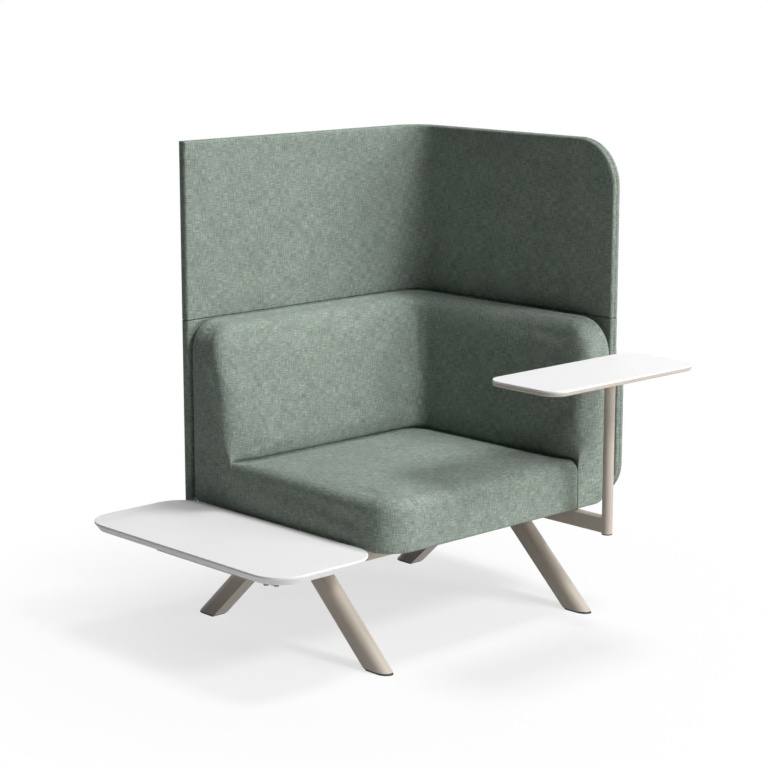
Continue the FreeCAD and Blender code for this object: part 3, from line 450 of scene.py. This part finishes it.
def stack_block(levels, across):
    """Points, quads and weave places of a closed block over a stack of loops.
    Each level holds its loop's two long sides, and across is the number of cells between them."""
    loops = np.array([close_loop(a, b, across) for a, b in levels])
    count = loops.shape[1]
    side = len(levels[0][0])
    middle = loops[len(loops) // 2]
    around = np.concatenate([[0], np.cumsum(np.linalg.norm(np.roll(middle, -1, 0) - middle, axis=1))])
    steps = np.linalg.norm(np.diff(loops, axis=0), axis=2).mean(axis=1)
    climb = np.concatenate([[0], np.cumsum(steps)])
    points = [tuple(p) for p in loops.reshape(-1, 3)]
    quads, weave = [], []
    for j in range(len(loops) - 1):
        for i in range(count):
            k = (i + 1) % count
            quads.append((j * count + i, j * count + k, (j + 1) * count + k, (j + 1) * count + i))
            weave += [(around[i], climb[j]), (around[i + 1], climb[j]),
                      (around[i + 1], climb[j + 1]), (around[i], climb[j + 1])]
    for level, upwards in ((0, False), (len(loops) - 1, True)):
        first = level * count
        grid = np.zeros((side, across + 1), int)
        grid[:, 0] = first + np.arange(side)
        grid[:, across] = first + side + across - 1 + np.arange(side)[::-1]
        grid[side - 1, 1:across] = first + side + np.arange(across - 1)
        grid[0, 1:across] = first + 2 * side + across - 1 + np.arange(across - 1)[::-1]
        side_a, side_b = levels[level]
        for i in range(1, side - 1):
            for j in range(1, across):
                grid[i, j] = len(points)
                points.append(tuple(side_a[i] + (side_b[i] - side_a[i]) * j / across))
        for quad in grid_quads(grid, upwards):
            quads.append(quad)
            weave += [points[v][:2] for v in quad]
    return np.array(points), quads, weave


def upholstered(name, points, quads, weave, material):
    """A mesh piece with its weave map and cloth."""
    mesh = bpy.data.meshes.new(name)
    mesh.from_pydata([tuple(p) for p in points], [], quads)
    layer = mesh.uv_layers.new(name=WEAVE_MAP)
    layer.data.foreach_set("uv", np.array(weave, dtype=np.float32).ravel())
    mesh.shade_smooth()
    mesh.materials.append(material)
    piece = bpy.data.objects.new(name, mesh)
    bpy.context.scene.collection.objects.link(piece)
    return piece


def mesh_points(mesh):
    """The places of a mesh's points as rows."""
    rows = np.empty(len(mesh.vertices) * 3, dtype=np.float64)
    mesh.vertices.foreach_get("co", rows)
    return rows.reshape(-1, 3)


def swell_foam(piece, hold, most):
    """Blows a cover up from inside with Cloth. hold is 1 where a point rests on something and can't move."""
    scene = bpy.context.scene
    rest = mesh_points(piece.data)
    group = piece.vertex_groups.new(name="held")
    group.add([int(i) for i in np.flatnonzero(hold > 0.5)], 1.0, "REPLACE")
    foam = piece.modifiers.new("Foam", "CLOTH")
    foam.settings.vertex_group_mass = group.name
    foam.settings.use_pressure = True
    foam.settings.uniform_pressure_force = 4.0
    foam.settings.effector_weights.gravity = 0.0
    foam.point_cache.frame_start = 1
    foam.point_cache.frame_end = FOAM_FRAMES
    for step in range(1, FOAM_FRAMES + 1):
        scene.frame_set(step)
    blown = piece.evaluated_get(bpy.context.evaluated_depsgraph_get())
    moved = mesh_points(blown.data) - rest
    piece.modifiers.remove(foam)
    piece.vertex_groups.remove(group)
    scene.frame_set(1)
    far = np.maximum(np.linalg.norm(moved, axis=1, keepdims=True), TINY)
    moved *= most * np.tanh(far / most) / far * (1 - hold[:, None])
    piece.data.vertices.foreach_set("co", (rest + moved).ravel())
    piece.data.update()


def held(points, low, high):
    """1 where a cushion rests on its board or on what stands beside and behind it, and 0 where it is free."""
    x, y, z = points.T
    below = 1 - smooth_step(z, low.z, low.z + HOLD_FAR)
    beside = smooth_step(x, high.x - HOLD_FAR, high.x - HOLD_NEAR)
    behind = smooth_step(y, high.y - HOLD_FAR, high.y - HOLD_NEAR)
    return np.maximum.reduce([below, beside, behind])


def put_on_sofa(piece, node):
    """Puts a soft piece on the sofa and lets it stand for its CAD node."""
    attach(piece, SOFA)
    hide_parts(node)


def make_cushion(node, block, hold, settings):
    """A cushion from its block: the cover, the swell of the foam and a last rounding."""
    piece = upholstered(node + "_cover", *block, melange_weave(settings))
    swell_foam(piece, hold, settings.swell)
    rounding = piece.modifiers.new("Rounding", "SUBSURF")
    rounding.levels = rounding.render_levels = 1
    put_on_sofa(piece, node)


def shape_seams(points, settings, left, inner, front, right, seat_top):
    """Moves the seams between both cushions at their two ends, alike in both."""
    x, y, z = points.T
    # The back's left end stands back where it meets the seat.
    beside = 1 - smooth_step(x, left, left + RECEDE_WIDTH)
    forward = smooth_step(y, inner.y - RECEDE_DEPTH, inner.y)
    forward *= 1 - smooth_step(y, inner.y, inner.y + RECEDE_DEPTH)
    below = 1 - smooth_step(z, seat_top + RECEDE_START, seat_top + RECEDE_END)
    y += settings.recede * beside * forward * below
    # The seat's front corner presses the arm's edge aside.
    beside = smooth_step(x, inner.x - PRESS_WIDTH, inner.x) * (1 - smooth_step(x, inner.x, right))
    forward = 1 - smooth_step(y, front, front + PRESS_DEPTH)
    below = 1 - smooth_step(z, seat_top, seat_top + PRESS_HEIGHT)
    x += settings.press * beside * forward * below


def seat_levels(settings, low, high, seat_top):
    """The seat's loops from its hem to its upper edge."""
    bottom = low.z - settings.wrap

    def loop(z, free, hidden, corner):
        front, right = low.y + free, high.x - hidden
        rear = high.y + settings.gap / 2 - hidden
        inner = max(settings.crease, settings.inner_corner - settings.gap - hidden)
        a, b = np.array((low.x + free, front, z)), np.array((right, front, z))
        # The seat's left edge is tighter at the back, where it runs into the back's end.
        c, d = np.array((right, rear, z)), np.array((low.x + free * settings.tuck, rear, z))
        wide = math.ceil((high.x - low.x) / settings.cell)
        return (side_path([d, a, b, c], [corner, settings.arm_seam], [wide]),
                side_path([a, d, c, b], [settings.side_seam, inner], [wide]))

    hem, edge = quarter(settings.hem, steps=5), quarter(settings.seat_edge, steps=9)
    levels = [loop(bottom + rise, inset + settings.ease, 0.0, settings.seat_corner)
              for rise, inset in zip(hem, hem[::-1])]
    wall = fill_stops([bottom + settings.hem, seat_top - settings.seat_edge], settings.cell, SEAT_LEAST)
    levels += [loop(z, settings.ease, 0.0, settings.seat_corner) for z in wall[1:-1]]
    levels += [loop(seat_top - drop, inset + settings.ease, edge_inset(drop, settings.crease),
                    settings.seat_corner - inset) for drop, inset in zip(edge[::-1], edge)]
    return levels


class BOOTH_OT_seat_cushion(bpy.types.Operator):
    """Makes the seat cushion from its foam and its cover"""
    bl_idname = "booth.seat_cushion"
    bl_label = "Seat cushion"

    def execute(self, context):
        settings = context.scene.booth_upholstery
        low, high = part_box("seat_cushion")
        seat_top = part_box("base_board")[1].z + settings.seat_thickness
        across = math.ceil((high.y - low.y) / settings.cell)
        block = stack_block(seat_levels(settings, low, high, seat_top), across)
        points = block[0]
        x, y, z = points.T
        # The middle of the seat rises and falls off towards its edges.
        wide = np.clip(np.abs(x - (low.x + high.x) / 2) * 2 / (high.x - low.x), 0, 1)
        deep = np.clip(np.abs(y - (low.y + high.y) / 2) * 2 / (high.y - low.y), 0, 1)
        upper = z > seat_top - TINY
        z[upper] += settings.seat_crown * ((1 - wide ** CROWN_FALL) * (1 - deep ** CROWN_FALL))[upper]
        # The rounded edge along the back and the arm closes up at its two ends.
        hidden = np.array([edge_inset(seat_top - height, settings.crease) for height in z])
        rear, right = high.y + settings.gap / 2 - hidden, high.x - hidden
        by_back = smooth_step(y, rear - CREASE_REACH, rear)
        by_arm = smooth_step(x, right - CREASE_REACH, right)
        y += hidden * by_back * (1 - smooth_step(x, low.x, low.x + settings.seam_run))
        x += hidden * by_arm * (1 - smooth_step(y, low.y, low.y + settings.seam_run))
        arm_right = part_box("back_arm_cushion")[1].x
        shape_seams(points, settings, low.x, high, low.y, arm_right, seat_top)
        make_cushion("seat_cushion", block, held(points, low, high), settings)
        return {"FINISHED"}


def wedge_loop(settings, low, high, inner, seat_top, z):
    """The back's and arm's loop at one height: an L with rounded corners."""
    over_seat = max(0.0, z - seat_top)
    rolled = edge_inset(high.z - z, settings.back_edge)
    if z >= seat_top:
        rolled += settings.ease
        under = edge_inset(over_seat * settings.roll / settings.roll_height, settings.roll)
    else:
        under = settings.roll * smooth_step(z, seat_top - ROLL_DEPTH, seat_top)
    back_y = inner.y + over_seat * math.tan(settings.back_recline) + rolled
    arm_x = inner.x + over_seat * math.tan(settings.arm_recline) + rolled
    outside = edge_inset(high.z - z, settings.back_rear_edge)
    hem = edge_inset(z - low.z, settings.hem) + settings.ease
    left = low.x + edge_inset(high.z - z, settings.back_end) + hem
    front = low.y + edge_inset(high.z - z, settings.arm_end) + hem
    rear = high.y - outside - edge_inset(z - low.z, settings.back_hem)
    right = high.x - outside - edge_inset(z - low.z, settings.arm_hem)
    blend = min(1.0, over_seat / settings.edge_blend)
    side_edge = settings.side_seam + (settings.end_edge - settings.side_seam) * blend
    arm_edge = settings.arm_seam + (settings.end_edge - settings.arm_seam) * blend
    outer_edge = min(settings.arm_edge, ARM_EDGE_SHARE * (right - arm_x))
    places = ((left, back_y), (arm_x, back_y), (arm_x, front), (right, front), (right, rear), (left, rear))
    a, b, c, d, e, f = [np.array((x, y, z)) for x, y in places]
    cells = [math.ceil((inner.x - low.x) / settings.cell), math.ceil((inner.y - low.y) / settings.cell)]
    face = side_path([f, a, b, c, d], [side_edge, settings.inner_corner, arm_edge], cells)
    # Both faces roll under along the seat, but not at their free ends.
    x, y = face[:, 0], face[:, 1]
    on_back = smooth_step(y, back_y - settings.inner_corner, back_y)
    on_back *= smooth_step(x, left, left + settings.seam_run)
    on_arm = smooth_step(x, arm_x - settings.inner_corner, arm_x)
    on_arm *= smooth_step(y, front, front + settings.seam_run)
    face[:, :2] += under * np.stack([on_arm, on_back], axis=1)
    return face, side_path([a, f, e, d, c], [settings.rear_edge, settings.outer_corner, outer_edge], cells)


class BOOTH_OT_back_cushion(bpy.types.Operator):
    """Makes the cushion that is the back and the arm in one"""
    bl_idname = "booth.back_cushion"
    bl_label = "Back and arm cushion"

    def execute(self, context):
        settings = context.scene.booth_upholstery
        low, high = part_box("back_arm_cushion")
        seat_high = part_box("seat_cushion")[1]
        inner = Vector((seat_high.x + settings.gap, seat_high.y + settings.gap / 2, 0))
        seat_top = low.z + settings.seat_thickness
        low.z -= settings.wrap
        heights = [seat_top + depth for depth in quarter(settings.roll_height, steps=6)]
        for radius in (settings.hem, settings.back_hem, settings.arm_hem):
            heights += [low.z + depth for depth in quarter(radius, steps=6)]
        for radius in (settings.arm_end, settings.back_edge):
            heights += [high.z - depth for depth in quarter(radius, steps=9)]
        levels = [wedge_loop(settings, low, high, inner, seat_top, z)
                  for z in fill_stops(heights, settings.cell, WEDGE_LEAST)]
        block = stack_block(levels, WEDGE_CELLS)
        points = block[0]
        shape_seams(points, settings, low.x, inner, low.y, high.x, seat_top)
        by_seat = 1 - smooth_step(points[:, 2], seat_top, seat_top + HOLD_OVER_SEAT)
        hold = np.maximum(held(points, low, high), by_seat)
        make_cushion("back_arm_cushion", block, hold, settings)
        return {"FINISHED"}


class ScreenBand:
    """One band of the screen, unrolled: s runs along its middle line from the left end to the front end."""
    ROWS, BEND_COLUMNS = 33, 19  # mesh lines up the band and round its bend
    CELL, LEAST = 0.014, 0.0004  # widest and narrowest cell along the band
    EDGE_STEPS, CORNER_STEPS = 5, 18  # cells round the padded edge and the front corner
    STEP_REACH = 0.15  # length over which the step in the front end fades out
    PADDING_FADE = 0.03  # distance from an edge over which the padding fills out
    RIM_SHARES = (0.0, 0.1, 0.18, 0.24, 0.3, 0.36, 0.42, 0.5, 0.62, 0.75, 0.88, 1.0)  # lanes across the rim
    RIM_BULGE = 0.0012  # how far the rim's middle stands out
    GROOVE_PLACE, GROOVE_WIDTH = 0.3, 0.12  # shares of the rim's width
    STITCH_PLACE, STITCH_RISE = 0.56, 0.0008  # share of the rim's width, and height over the rim
    SEWN_FROM = 0.05  # the rim is sewn where it faces forward by more than this share
    PROBE = 0.001  # distance to both sides at which the rim's direction is measured

    def __init__(self, settings, node, corner, upwards, step=0.0):
        """upwards is 1 where the free edge and its round corner are on top, and -1 where they are below."""
        self.settings, self.corner, self.upwards, self.step = settings, corner, upwards, step
        self.low, self.high = low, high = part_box(node)
        self.half = settings.screen_thickness / 2
        self.bend = settings.screen_bend - self.half
        self.middle_x = high.x - self.half
        self.middle_y = high.y - self.half
        self.back_run = self.middle_x - self.bend - low.x
        self.turn_run = self.bend * math.pi / 2
        side_run = self.middle_y - self.bend - low.y
        self.run = self.back_run + self.turn_run + side_run
        self.seam_z, self.free_z = (low.z, high.z) if upwards > 0 else (high.z, low.z)
        self.centre_z = self.free_z - upwards * corner

    def place(self, s, z, inwards):
        """The point at s and z, moved off the middle line towards the seat."""
        rise = smooth_step(z, self.settings.step_bottom, self.settings.step_top)
        s -= self.step * rise * smooth_step(s, self.run - self.STEP_REACH, self.run)
        turned = s - self.back_run
        if turned <= 0:
            return (self.low.x + s, self.middle_y - inwards, z)
        if turned >= self.turn_run:
            return (self.middle_x - inwards, self.middle_y - self.bend - (turned - self.turn_run), z)
        angle = turned / self.bend
        radius = self.bend - inwards
        return (self.middle_x - self.bend + radius * math.sin(angle),
                self.middle_y - self.bend + radius * math.cos(angle), z)

    def past_corner(self, s, z):
        """How far s and z lie past the centre of the round corner."""
        return s - (self.run - self.corner), (z - self.centre_z) * self.upwards

    def edge_distance(self, s, z):
        """Distance to the padded edges, and distance to the seam."""
        past, beyond = self.past_corner(s, z)
        if past > 0 and beyond > 0:
            distance = self.corner - math.hypot(past, beyond)
        else:
            distance = min(s, self.run - s, abs(self.free_z - z))
        return max(0.0, distance), abs(z - self.seam_z)

    def half_thickness(self, s, z):
        """Half the padded thickness: round at the edges, crisp at the seam and fuller in the middle."""
        free, seam = self.edge_distance(s, z)
        rounding = max(edge_inset(free, self.settings.screen_edge),
                       edge_inset(seam, self.settings.screen_seam))
        fullness = 1 - math.exp(-min(free, seam) / self.PADDING_FADE)
        return self.half - rounding + self.settings.screen_padding * fullness

    def columns(self):
        """Places along the band: close together at its ends, its bend and its round corner."""
        near = quarter(self.settings.screen_edge, self.EDGE_STEPS)
        stops = near + [self.run - depth for depth in near + quarter(self.corner, self.CORNER_STEPS)]
        stops += [self.back_run + self.turn_run * t for t in np.linspace(0, 1, self.BEND_COLUMNS)]
        return fill_stops(stops, self.CELL, self.LEAST)

    def rows(self, s):
        """Heights at s, from the lowest to the highest."""
        beyond = max(0.0, s - (self.run - self.corner))
        drop = self.corner - math.sqrt(max(0.0, self.corner ** 2 - beyond ** 2))
        bottom, top = sorted((self.seam_z, self.free_z - self.upwards * drop))
        edge = self.settings.screen_edge
        near = quarter(edge, self.EDGE_STEPS)[:-1]
        inside = np.linspace(bottom + edge, top - edge, self.ROWS)
        return [bottom + depth for depth in near] + list(inside) + [top - depth for depth in near[::-1]]

    def rim_path(self):
        """The band's edge as pairs of s and z in the unrolled sheet, starting at the lower left."""
        columns = self.columns()
        first, last = self.rows(columns[0]), self.rows(columns[-1])
        bottom = [(s, self.rows(s)[0]) for s in columns]
        front = [(columns[-1], z) for z in last[1:]]
        top = [(s, self.rows(s)[-1]) for s in columns[::-1]][1:]
        left = [(columns[0], z) for z in first[::-1]][1:-1]
        return bottom + front + top + left

    def outward(self, s, z):
        """Unit way out of the sheet at its edge."""
        past, beyond = self.past_corner(s, z)
        if past > TINY and beyond > TINY:
            return past / self.corner, self.upwards * beyond / self.corner
        gaps = ((s, (-1, 0)), (self.run - s, (1, 0)), (z - self.low.z, (0, -1)), (self.high.z - z, (0, 1)))
        return min(gaps)[1]

    def rim_point(self, s, z, share):
        """A point of the rim at a share of its width: a soft bulge with the seam sunk into it."""
        off = self.half_thickness(s, z) * (1 - 2 * share)
        bulge = 0.0
        if abs(z - self.seam_z) >= TINY:
            bulge = self.RIM_BULGE * (1 - (2 * share - 1) ** 2)
            sunk = max(0.0, 1 - abs(share - self.GROOVE_PLACE) / self.GROOVE_WIDTH)
            bulge -= self.settings.rim_groove * sunk
        way_s, way_z = self.outward(s, z)
        x, y, height = self.place(s, z + bulge * way_z, off)
        ahead, behind = self.place(s + self.PROBE, z, off), self.place(s - self.PROBE, z, off)
        along = unit(np.array(ahead) - np.array(behind))
        return x + along[0] * bulge * way_s, y + along[1] * bulge * way_s, height

    def mesh(self):
        """Points, quads and weave places of the padded band."""
        points, sheet, grids = [], [], []
        for face in (1, -1):
            grid = []
            for s in self.columns():
                rows = self.rows(s)
                grid.append(range(len(points), len(points) + len(rows)))
                points += [self.place(s, z, face * self.half_thickness(s, z)) for z in rows]
                sheet += [(s, z) for z in rows]
            grids.append(np.array(grid))
        quads, weave = [], []
        for grid, inner in zip(grids, (True, False)):
            for quad in grid_quads(grid, inner):
                quads.append(quad)
                weave += [sheet[v] for v in quad]
        edges = [np.concatenate([g[:, 0], g[-1, 1:], g[::-1, -1][1:], g[0, ::-1][1:-1]]) for g in grids]
        path = self.rim_path()
        lanes = [edges[0]]
        for share in self.RIM_SHARES[1:-1]:
            lanes.append(np.arange(len(points), len(points) + len(path)))
            points += [self.rim_point(s, z, share) for s, z in path]
        lanes.append(edges[1])
        lengths = [0.0]
        for (s0, z0), (s1, z1) in zip(path, path[1:] + path[:1]):
            lengths.append(lengths[-1] + math.hypot(s1 - s0, z1 - z0))
        widths = [share * 2 * self.half for share in self.RIM_SHARES]
        for lane in range(len(lanes) - 1):
            near, far = widths[lane:lane + 2]
            for i in range(len(path)):
                k = (i + 1) % len(path)
                quad = (lanes[lane][k], lanes[lane][i], lanes[lane + 1][i], lanes[lane + 1][k])
                quads.append(tuple(int(v) for v in quad))
                weave += [(near, lengths[i + 1]), (near, lengths[i]),
                          (far, lengths[i]), (far, lengths[i + 1])]
        return points, quads, weave

    def stitch_line(self):
        """Points along the front end and its round corner, just out of the rim."""
        line = []
        for s, z in self.rim_path():
            way_s, way_z = self.outward(s, z)
            if way_s >= self.SEWN_FROM:
                off = self.half_thickness(s, z) * (1 - 2 * self.STITCH_PLACE)
                x, y, height = self.place(s, z + self.STITCH_RISE * way_z, off)
                line.append((x, y - self.STITCH_RISE * way_s, height))
        return line


def screen_bands(settings):
    """The upper and the lower band."""
    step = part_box("upper_screen_cover")[0].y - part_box("lower_screen_cover")[0].y
    return (ScreenBand(settings, "upper_screen_cover", settings.screen_top_corner, 1),
            ScreenBand(settings, "lower_screen_cover", settings.screen_low_corner, -1, step))


class BOOTH_OT_screen(bpy.types.Operator):
    """Makes the two padded bands of the privacy screen"""
    bl_idname = "booth.screen"
    bl_label = "Privacy screen"

    def execute(self, context):
        settings = context.scene.booth_upholstery
        cloth = melange_weave(settings)
        for band, name in zip(screen_bands(settings), ("upper_screen", "lower_screen")):
            piece = upholstered(name + "_padding", *band.mesh(), cloth)
            put_on_sofa(piece, name + "_cover")
        return {"FINISHED"}


def stitch_tree(thread):
    """Geometry Nodes that lay one stitch after another along an edge path."""
    tree = bpy.data.node_groups.new("Stitch row", "GeometryNodeTree")
    tree.interface.new_socket("Path", in_out="INPUT", socket_type="NodeSocketGeometry")
    for name in ("Pitch", "Stitch length", "Stitch width"):
        tree.interface.new_socket(name, in_out="INPUT", socket_type="NodeSocketFloat")
    tree.interface.new_socket("Stitches", in_out="OUTPUT", socket_type="NodeSocketGeometry")
    given = add_node(tree, "NodeGroupInput").outputs
    curve = add_node(tree, "GeometryNodeMeshToCurve", {"Mesh": given["Path"]})
    spaced = add_node(tree, "GeometryNodeResampleCurve", {
        "Curve": curve.outputs[0], "Length": given["Pitch"]}, mode="LENGTH")
    # A bead one unit thick, stretched to the stitch.
    bead = add_node(tree, "GeometryNodeMeshUVSphere", {"Segments": 6, "Rings": 4, "Radius": 0.5})
    size = add_node(tree, "ShaderNodeCombineXYZ", {
        "X": given["Stitch width"], "Y": given["Stitch width"], "Z": given["Stitch length"]})
    along = add_node(tree, "GeometryNodeInputTangent")
    turned = add_node(tree, "FunctionNodeAlignRotationToVector", {"Vector": along.outputs[0]}, axis="Z")
    laid = add_node(tree, "GeometryNodeInstanceOnPoints", {
        "Points": spaced.outputs[0], "Instance": bead.outputs["Mesh"], "Rotation": turned.outputs[0],
        "Scale": size.outputs[0]})
    real = add_node(tree, "GeometryNodeRealizeInstances", {"Geometry": laid.outputs[0]})
    dyed = add_node(tree, "GeometryNodeSetMaterial", {"Geometry": real.outputs[0], "Material": thread})
    add_node(tree, "NodeGroupOutput", {"Stitches": dyed.outputs[0]})
    return tree


class BOOTH_OT_stitching(bpy.types.Operator):
    """Sews the seams on the front rim of the screen"""
    bl_idname = "booth.stitching"
    bl_label = "Stitching"

    def execute(self, context):
        settings = context.scene.booth_upholstery
        points, edges = [], []
        for band in screen_bands(settings):
            line = band.stitch_line()
            edges += [(len(points) + i, len(points) + i + 1) for i in range(len(line) - 1)]
            points += line
        path = bpy.data.meshes.new("stitch_path")
        path.from_pydata(points, edges, [])
        row = bpy.data.objects.new("stitch_path", path)
        context.scene.collection.objects.link(row)
        tree = stitch_tree(seam_thread(settings))
        sewing = row.modifiers.new("Sewing", "NODES")
        sewing.node_group = tree
        sizes = {"Pitch": settings.stitch_pitch, "Stitch length": settings.stitch_length,
                 "Stitch width": settings.stitch_width}
        for item in tree.interface.items_tree:
            if item.name in sizes:
                sewing[item.identifier] = sizes[item.name]
        depsgraph = context.evaluated_depsgraph_get()
        stitches = bpy.data.meshes.new_from_object(row.evaluated_get(depsgraph))
        row.modifiers.remove(sewing)
        bpy.data.objects.remove(row)
        if not stitches.vertices:
            raise RuntimeError("the stitch rows came out empty")
        stitches.shade_smooth()
        piece = bpy.data.objects.new("screen_stitches", stitches)
        context.scene.collection.objects.link(piece)
        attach(piece, SOFA)
        return {"FINISHED"}


class BOOTH_OT_frame_paint(bpy.types.Operator):
    """Paints the tubes, the legs, the mast and the plates under the tables"""
    bl_idname = "booth.frame_paint"
    bl_label = "Frame paint"

    def execute(self, context):
        legs = [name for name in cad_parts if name.endswith("_leg")]
        paint_nodes(powder_coat(context.scene.booth_finishes), legs + [
            "front_rail", "rear_rail", "left_beam", "right_beam", "table_carrier", "mast", "swivel_tray"])
        return {"FINISHED"}


class BOOTH_OT_table_tops(bpy.types.Operator):
    """Lays the white laminate on both tables"""
    bl_idname = "booth.table_tops"
    bl_label = "Table tops"

    def execute(self, context):
        paint_nodes(white_laminate(context.scene.booth_finishes), ["side_table_top", "swivel_table_top"])
        return {"FINISHED"}


class BOOTH_OT_fittings(bpy.types.Operator):
    """Finishes the glides, caps, boards, screws and bolts"""
    bl_idname = "booth.fittings"
    bl_label = "Fittings and boards"

    def execute(self, context):
        settings = context.scene.booth_finishes
        glides = [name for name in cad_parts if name.endswith("_glide")]
        black = moulded_plastic("black_polypropylene", settings.plastic, roughness=0.5, grit=0.9 * MM)
        paint_nodes(black, glides + ["rail_end_caps", "mast_plug", "screen_spacers", "seat_spacers"])
        rubber = moulded_plastic("buffer_rubber", settings.rubber, roughness=0.8, grit=1.4 * MM)
        paint_nodes(rubber, ["table_buffers"])
        acetal = moulded_plastic("acetal_bearing", settings.bearing, roughness=0.35, grit=0.7 * MM)
        paint_nodes(acetal, ["upper_bush", "lower_bush"])
        paint_nodes(birch_plywood(settings), [
            "seat_board", "back_board", "arm_board", "upper_screen_core", "lower_screen_core",
            "screen_dowels"])
        # Dark felted lining under the base board: a real dust cloth whose near-black is also painted shade in
        # the gap under the seat.
        lining_and_shade = moulded_plastic("felted_lining", settings.lining_and_shade, roughness=0.95, grit=2 * MM)
        paint_nodes(lining_and_shade, ["base_board"])
        paint_nodes(zinc_plate(settings), [
            "seat_screws", "carcass_screws", "screen_bolts", "leg_bolts", "frame_bolts", "carrier_bolts",
            "table_screws", "spindle", "retaining_ring", "hub_screws", "tray_screws"])
        return {"FINISHED"}


def seen_share(tree):
    """1 for what is looked at, straight, in a shine or through glass, and 0 for light that only bounces."""
    rays = add_node(tree, "ShaderNodeLightPath").outputs
    shown = add_node(tree, "ShaderNodeMath", {0: rays["Is Camera Ray"], 1: rays["Is Glossy Ray"]},
                     operation="MAXIMUM")
    clear = add_node(tree, "ShaderNodeMath", {0: shown.outputs[0], 1: rays["Is Transmission Ray"]},
                     operation="MAXIMUM")
    return clear.outputs[0]


def floor_finish(settings):
    """Matt white studio floor. The camera sees it fade to plain white away from the sofa."""
    material, tree = new_material("studio_floor")
    place = add_node(tree, "ShaderNodeTexCoord").outputs["Object"]
    distance = add_node(tree, "ShaderNodeVectorMath", {0: place}, operation="LENGTH")
    fade = add_node(tree, "ShaderNodeMapRange", {
        "Value": distance.outputs["Value"], "From Min": settings.fade_start, "From Max": settings.fade_end,
        "To Min": settings.floor_white, "To Max": 1.0}, interpolation_type="SMOOTHSTEP")
    matt = add_node(tree, "ShaderNodeBsdfDiffuse", {"Color": settings.floor_tone})
    white = add_node(tree, "ShaderNodeEmission", {"Color": WHITE, "Strength": 1.0})
    shown = add_node(tree, "ShaderNodeMixShader", {0: fade.outputs[0], 1: matt.outputs[0],
                                                   2: white.outputs[0]})
    bounce = add_node(tree, "ShaderNodeBsdfDiffuse", {"Color": settings.floor_bounce})
    floor = add_node(tree, "ShaderNodeMixShader", {0: seen_share(tree), 1: bounce.outputs[0],
                                                   2: shown.outputs[0]})
    add_node(tree, "ShaderNodeOutputMaterial", {"Surface": floor.outputs[0]})
    return material


def studio_air(settings):
    """A faint even light all round, which the camera sees as plain white."""
    world = bpy.data.worlds.new("studio_air")
    world.use_nodes = True
    tree = world.node_tree
    tree.nodes.clear()
    even = add_node(tree, "ShaderNodeBackground", {"Color": WHITE, "Strength": settings.fill})
    white = add_node(tree, "ShaderNodeBackground", {"Color": WHITE, "Strength": 1.0})
    mixed = add_node(tree, "ShaderNodeMixShader", {0: seen_share(tree), 1: even.outputs[0],
                                                   2: white.outputs[0]})
    add_node(tree, "ShaderNodeOutputWorld", {"Surface": mixed.outputs[0]})
    return world


def area_light(name, place, target, size, power):
    """A soft square studio light."""
    data = bpy.data.lights.new(name, "AREA")
    data.shape = "SQUARE"
    data.size = size
    data.energy = power
    light = bpy.data.objects.new(name, data)
    light.location = place
    light.rotation_euler = (target - place).to_track_quat("-Z", "Y").to_euler()
    bpy.context.scene.collection.objects.link(light)


class BOOTH_OT_stage(bpy.types.Operator):
    """Sets the floor, the light and the camera"""
    bl_idname = "booth.stage"
    bl_label = "Studio"

    def execute(self, context):
        settings = context.scene.booth_stage
        mesh = bpy.data.meshes.new("studio_floor")
        reach = 30.0
        mesh.from_pydata([(-reach, -reach, 0), (reach, -reach, 0), (reach, reach, 0), (-reach, reach, 0)],
                         [], [(0, 1, 2, 3)])
        mesh.materials.append(floor_finish(settings))
        floor = bpy.data.objects.new("studio_floor", mesh)
        context.scene.collection.objects.link(floor)

        for light in ("key", "front", "top"):
            place, size, power = [getattr(settings, light + part) for part in ("_place", "_size", "_power")]
            area_light(light + "_light", place, settings.light_target, size, power)
        context.scene.world = studio_air(settings)

        data = bpy.data.cameras.new("photo_camera")
        data.sensor_width = 36.0
        data.lens = settings.lens
        data.clip_start, data.clip_end = 0.1, 200.0
        camera = bpy.data.objects.new("photo_camera", data)
        camera.location = settings.camera_place
        camera.rotation_euler = Euler((math.pi / 2 - settings.camera_tilt, 0, settings.camera_yaw))
        context.scene.collection.objects.link(camera)
        context.scene.camera = camera
        context.scene.view_settings.view_transform = "Standard"
        return {"FINISHED"}


class BOOTH_PT_sofa(bpy.types.Panel):
    """Lists the sofa's pieces and their settings"""
    bl_idname = "BOOTH_PT_sofa"
    bl_label = "Privacy booth sofa"
    bl_space_type = "VIEW_3D"
    bl_region_type = "UI"
    bl_category = "Booth Sofa"

    def draw(self, context):
        for operator in OPERATORS:
            self.layout.operator(operator.bl_idname)
        for group in SETTINGS:
            box = self.layout.box()
            settings = getattr(context.scene, group)
            for name in settings.__annotations__:
                box.prop(settings, name)


SETTINGS = {"booth_upholstery": BoothUpholstery, "booth_finishes": BoothFinishes, "booth_stage": BoothStage}
OPERATORS = (BOOTH_OT_seat_cushion, BOOTH_OT_back_cushion, BOOTH_OT_screen, BOOTH_OT_stitching,
             BOOTH_OT_frame_paint, BOOTH_OT_table_tops, BOOTH_OT_fittings, BOOTH_OT_stage)
CLASSES = (*SETTINGS.values(), *OPERATORS, BOOTH_PT_sofa)


def register():
    for item in CLASSES:
        bpy.utils.register_class(item)
    for name, group in SETTINGS.items():
        setattr(bpy.types.Scene, name, bpy.props.PointerProperty(type=group))


def unregister():
    for name in SETTINGS:
        delattr(bpy.types.Scene, name)
    for item in reversed(CLASSES):
        bpy.utils.unregister_class(item)


def main():
    register()
    for operator in OPERATORS:
        module, name = operator.bl_idname.split(".")
        getattr(getattr(bpy.ops, module), name)()


if __name__ == "__main__":
    main()
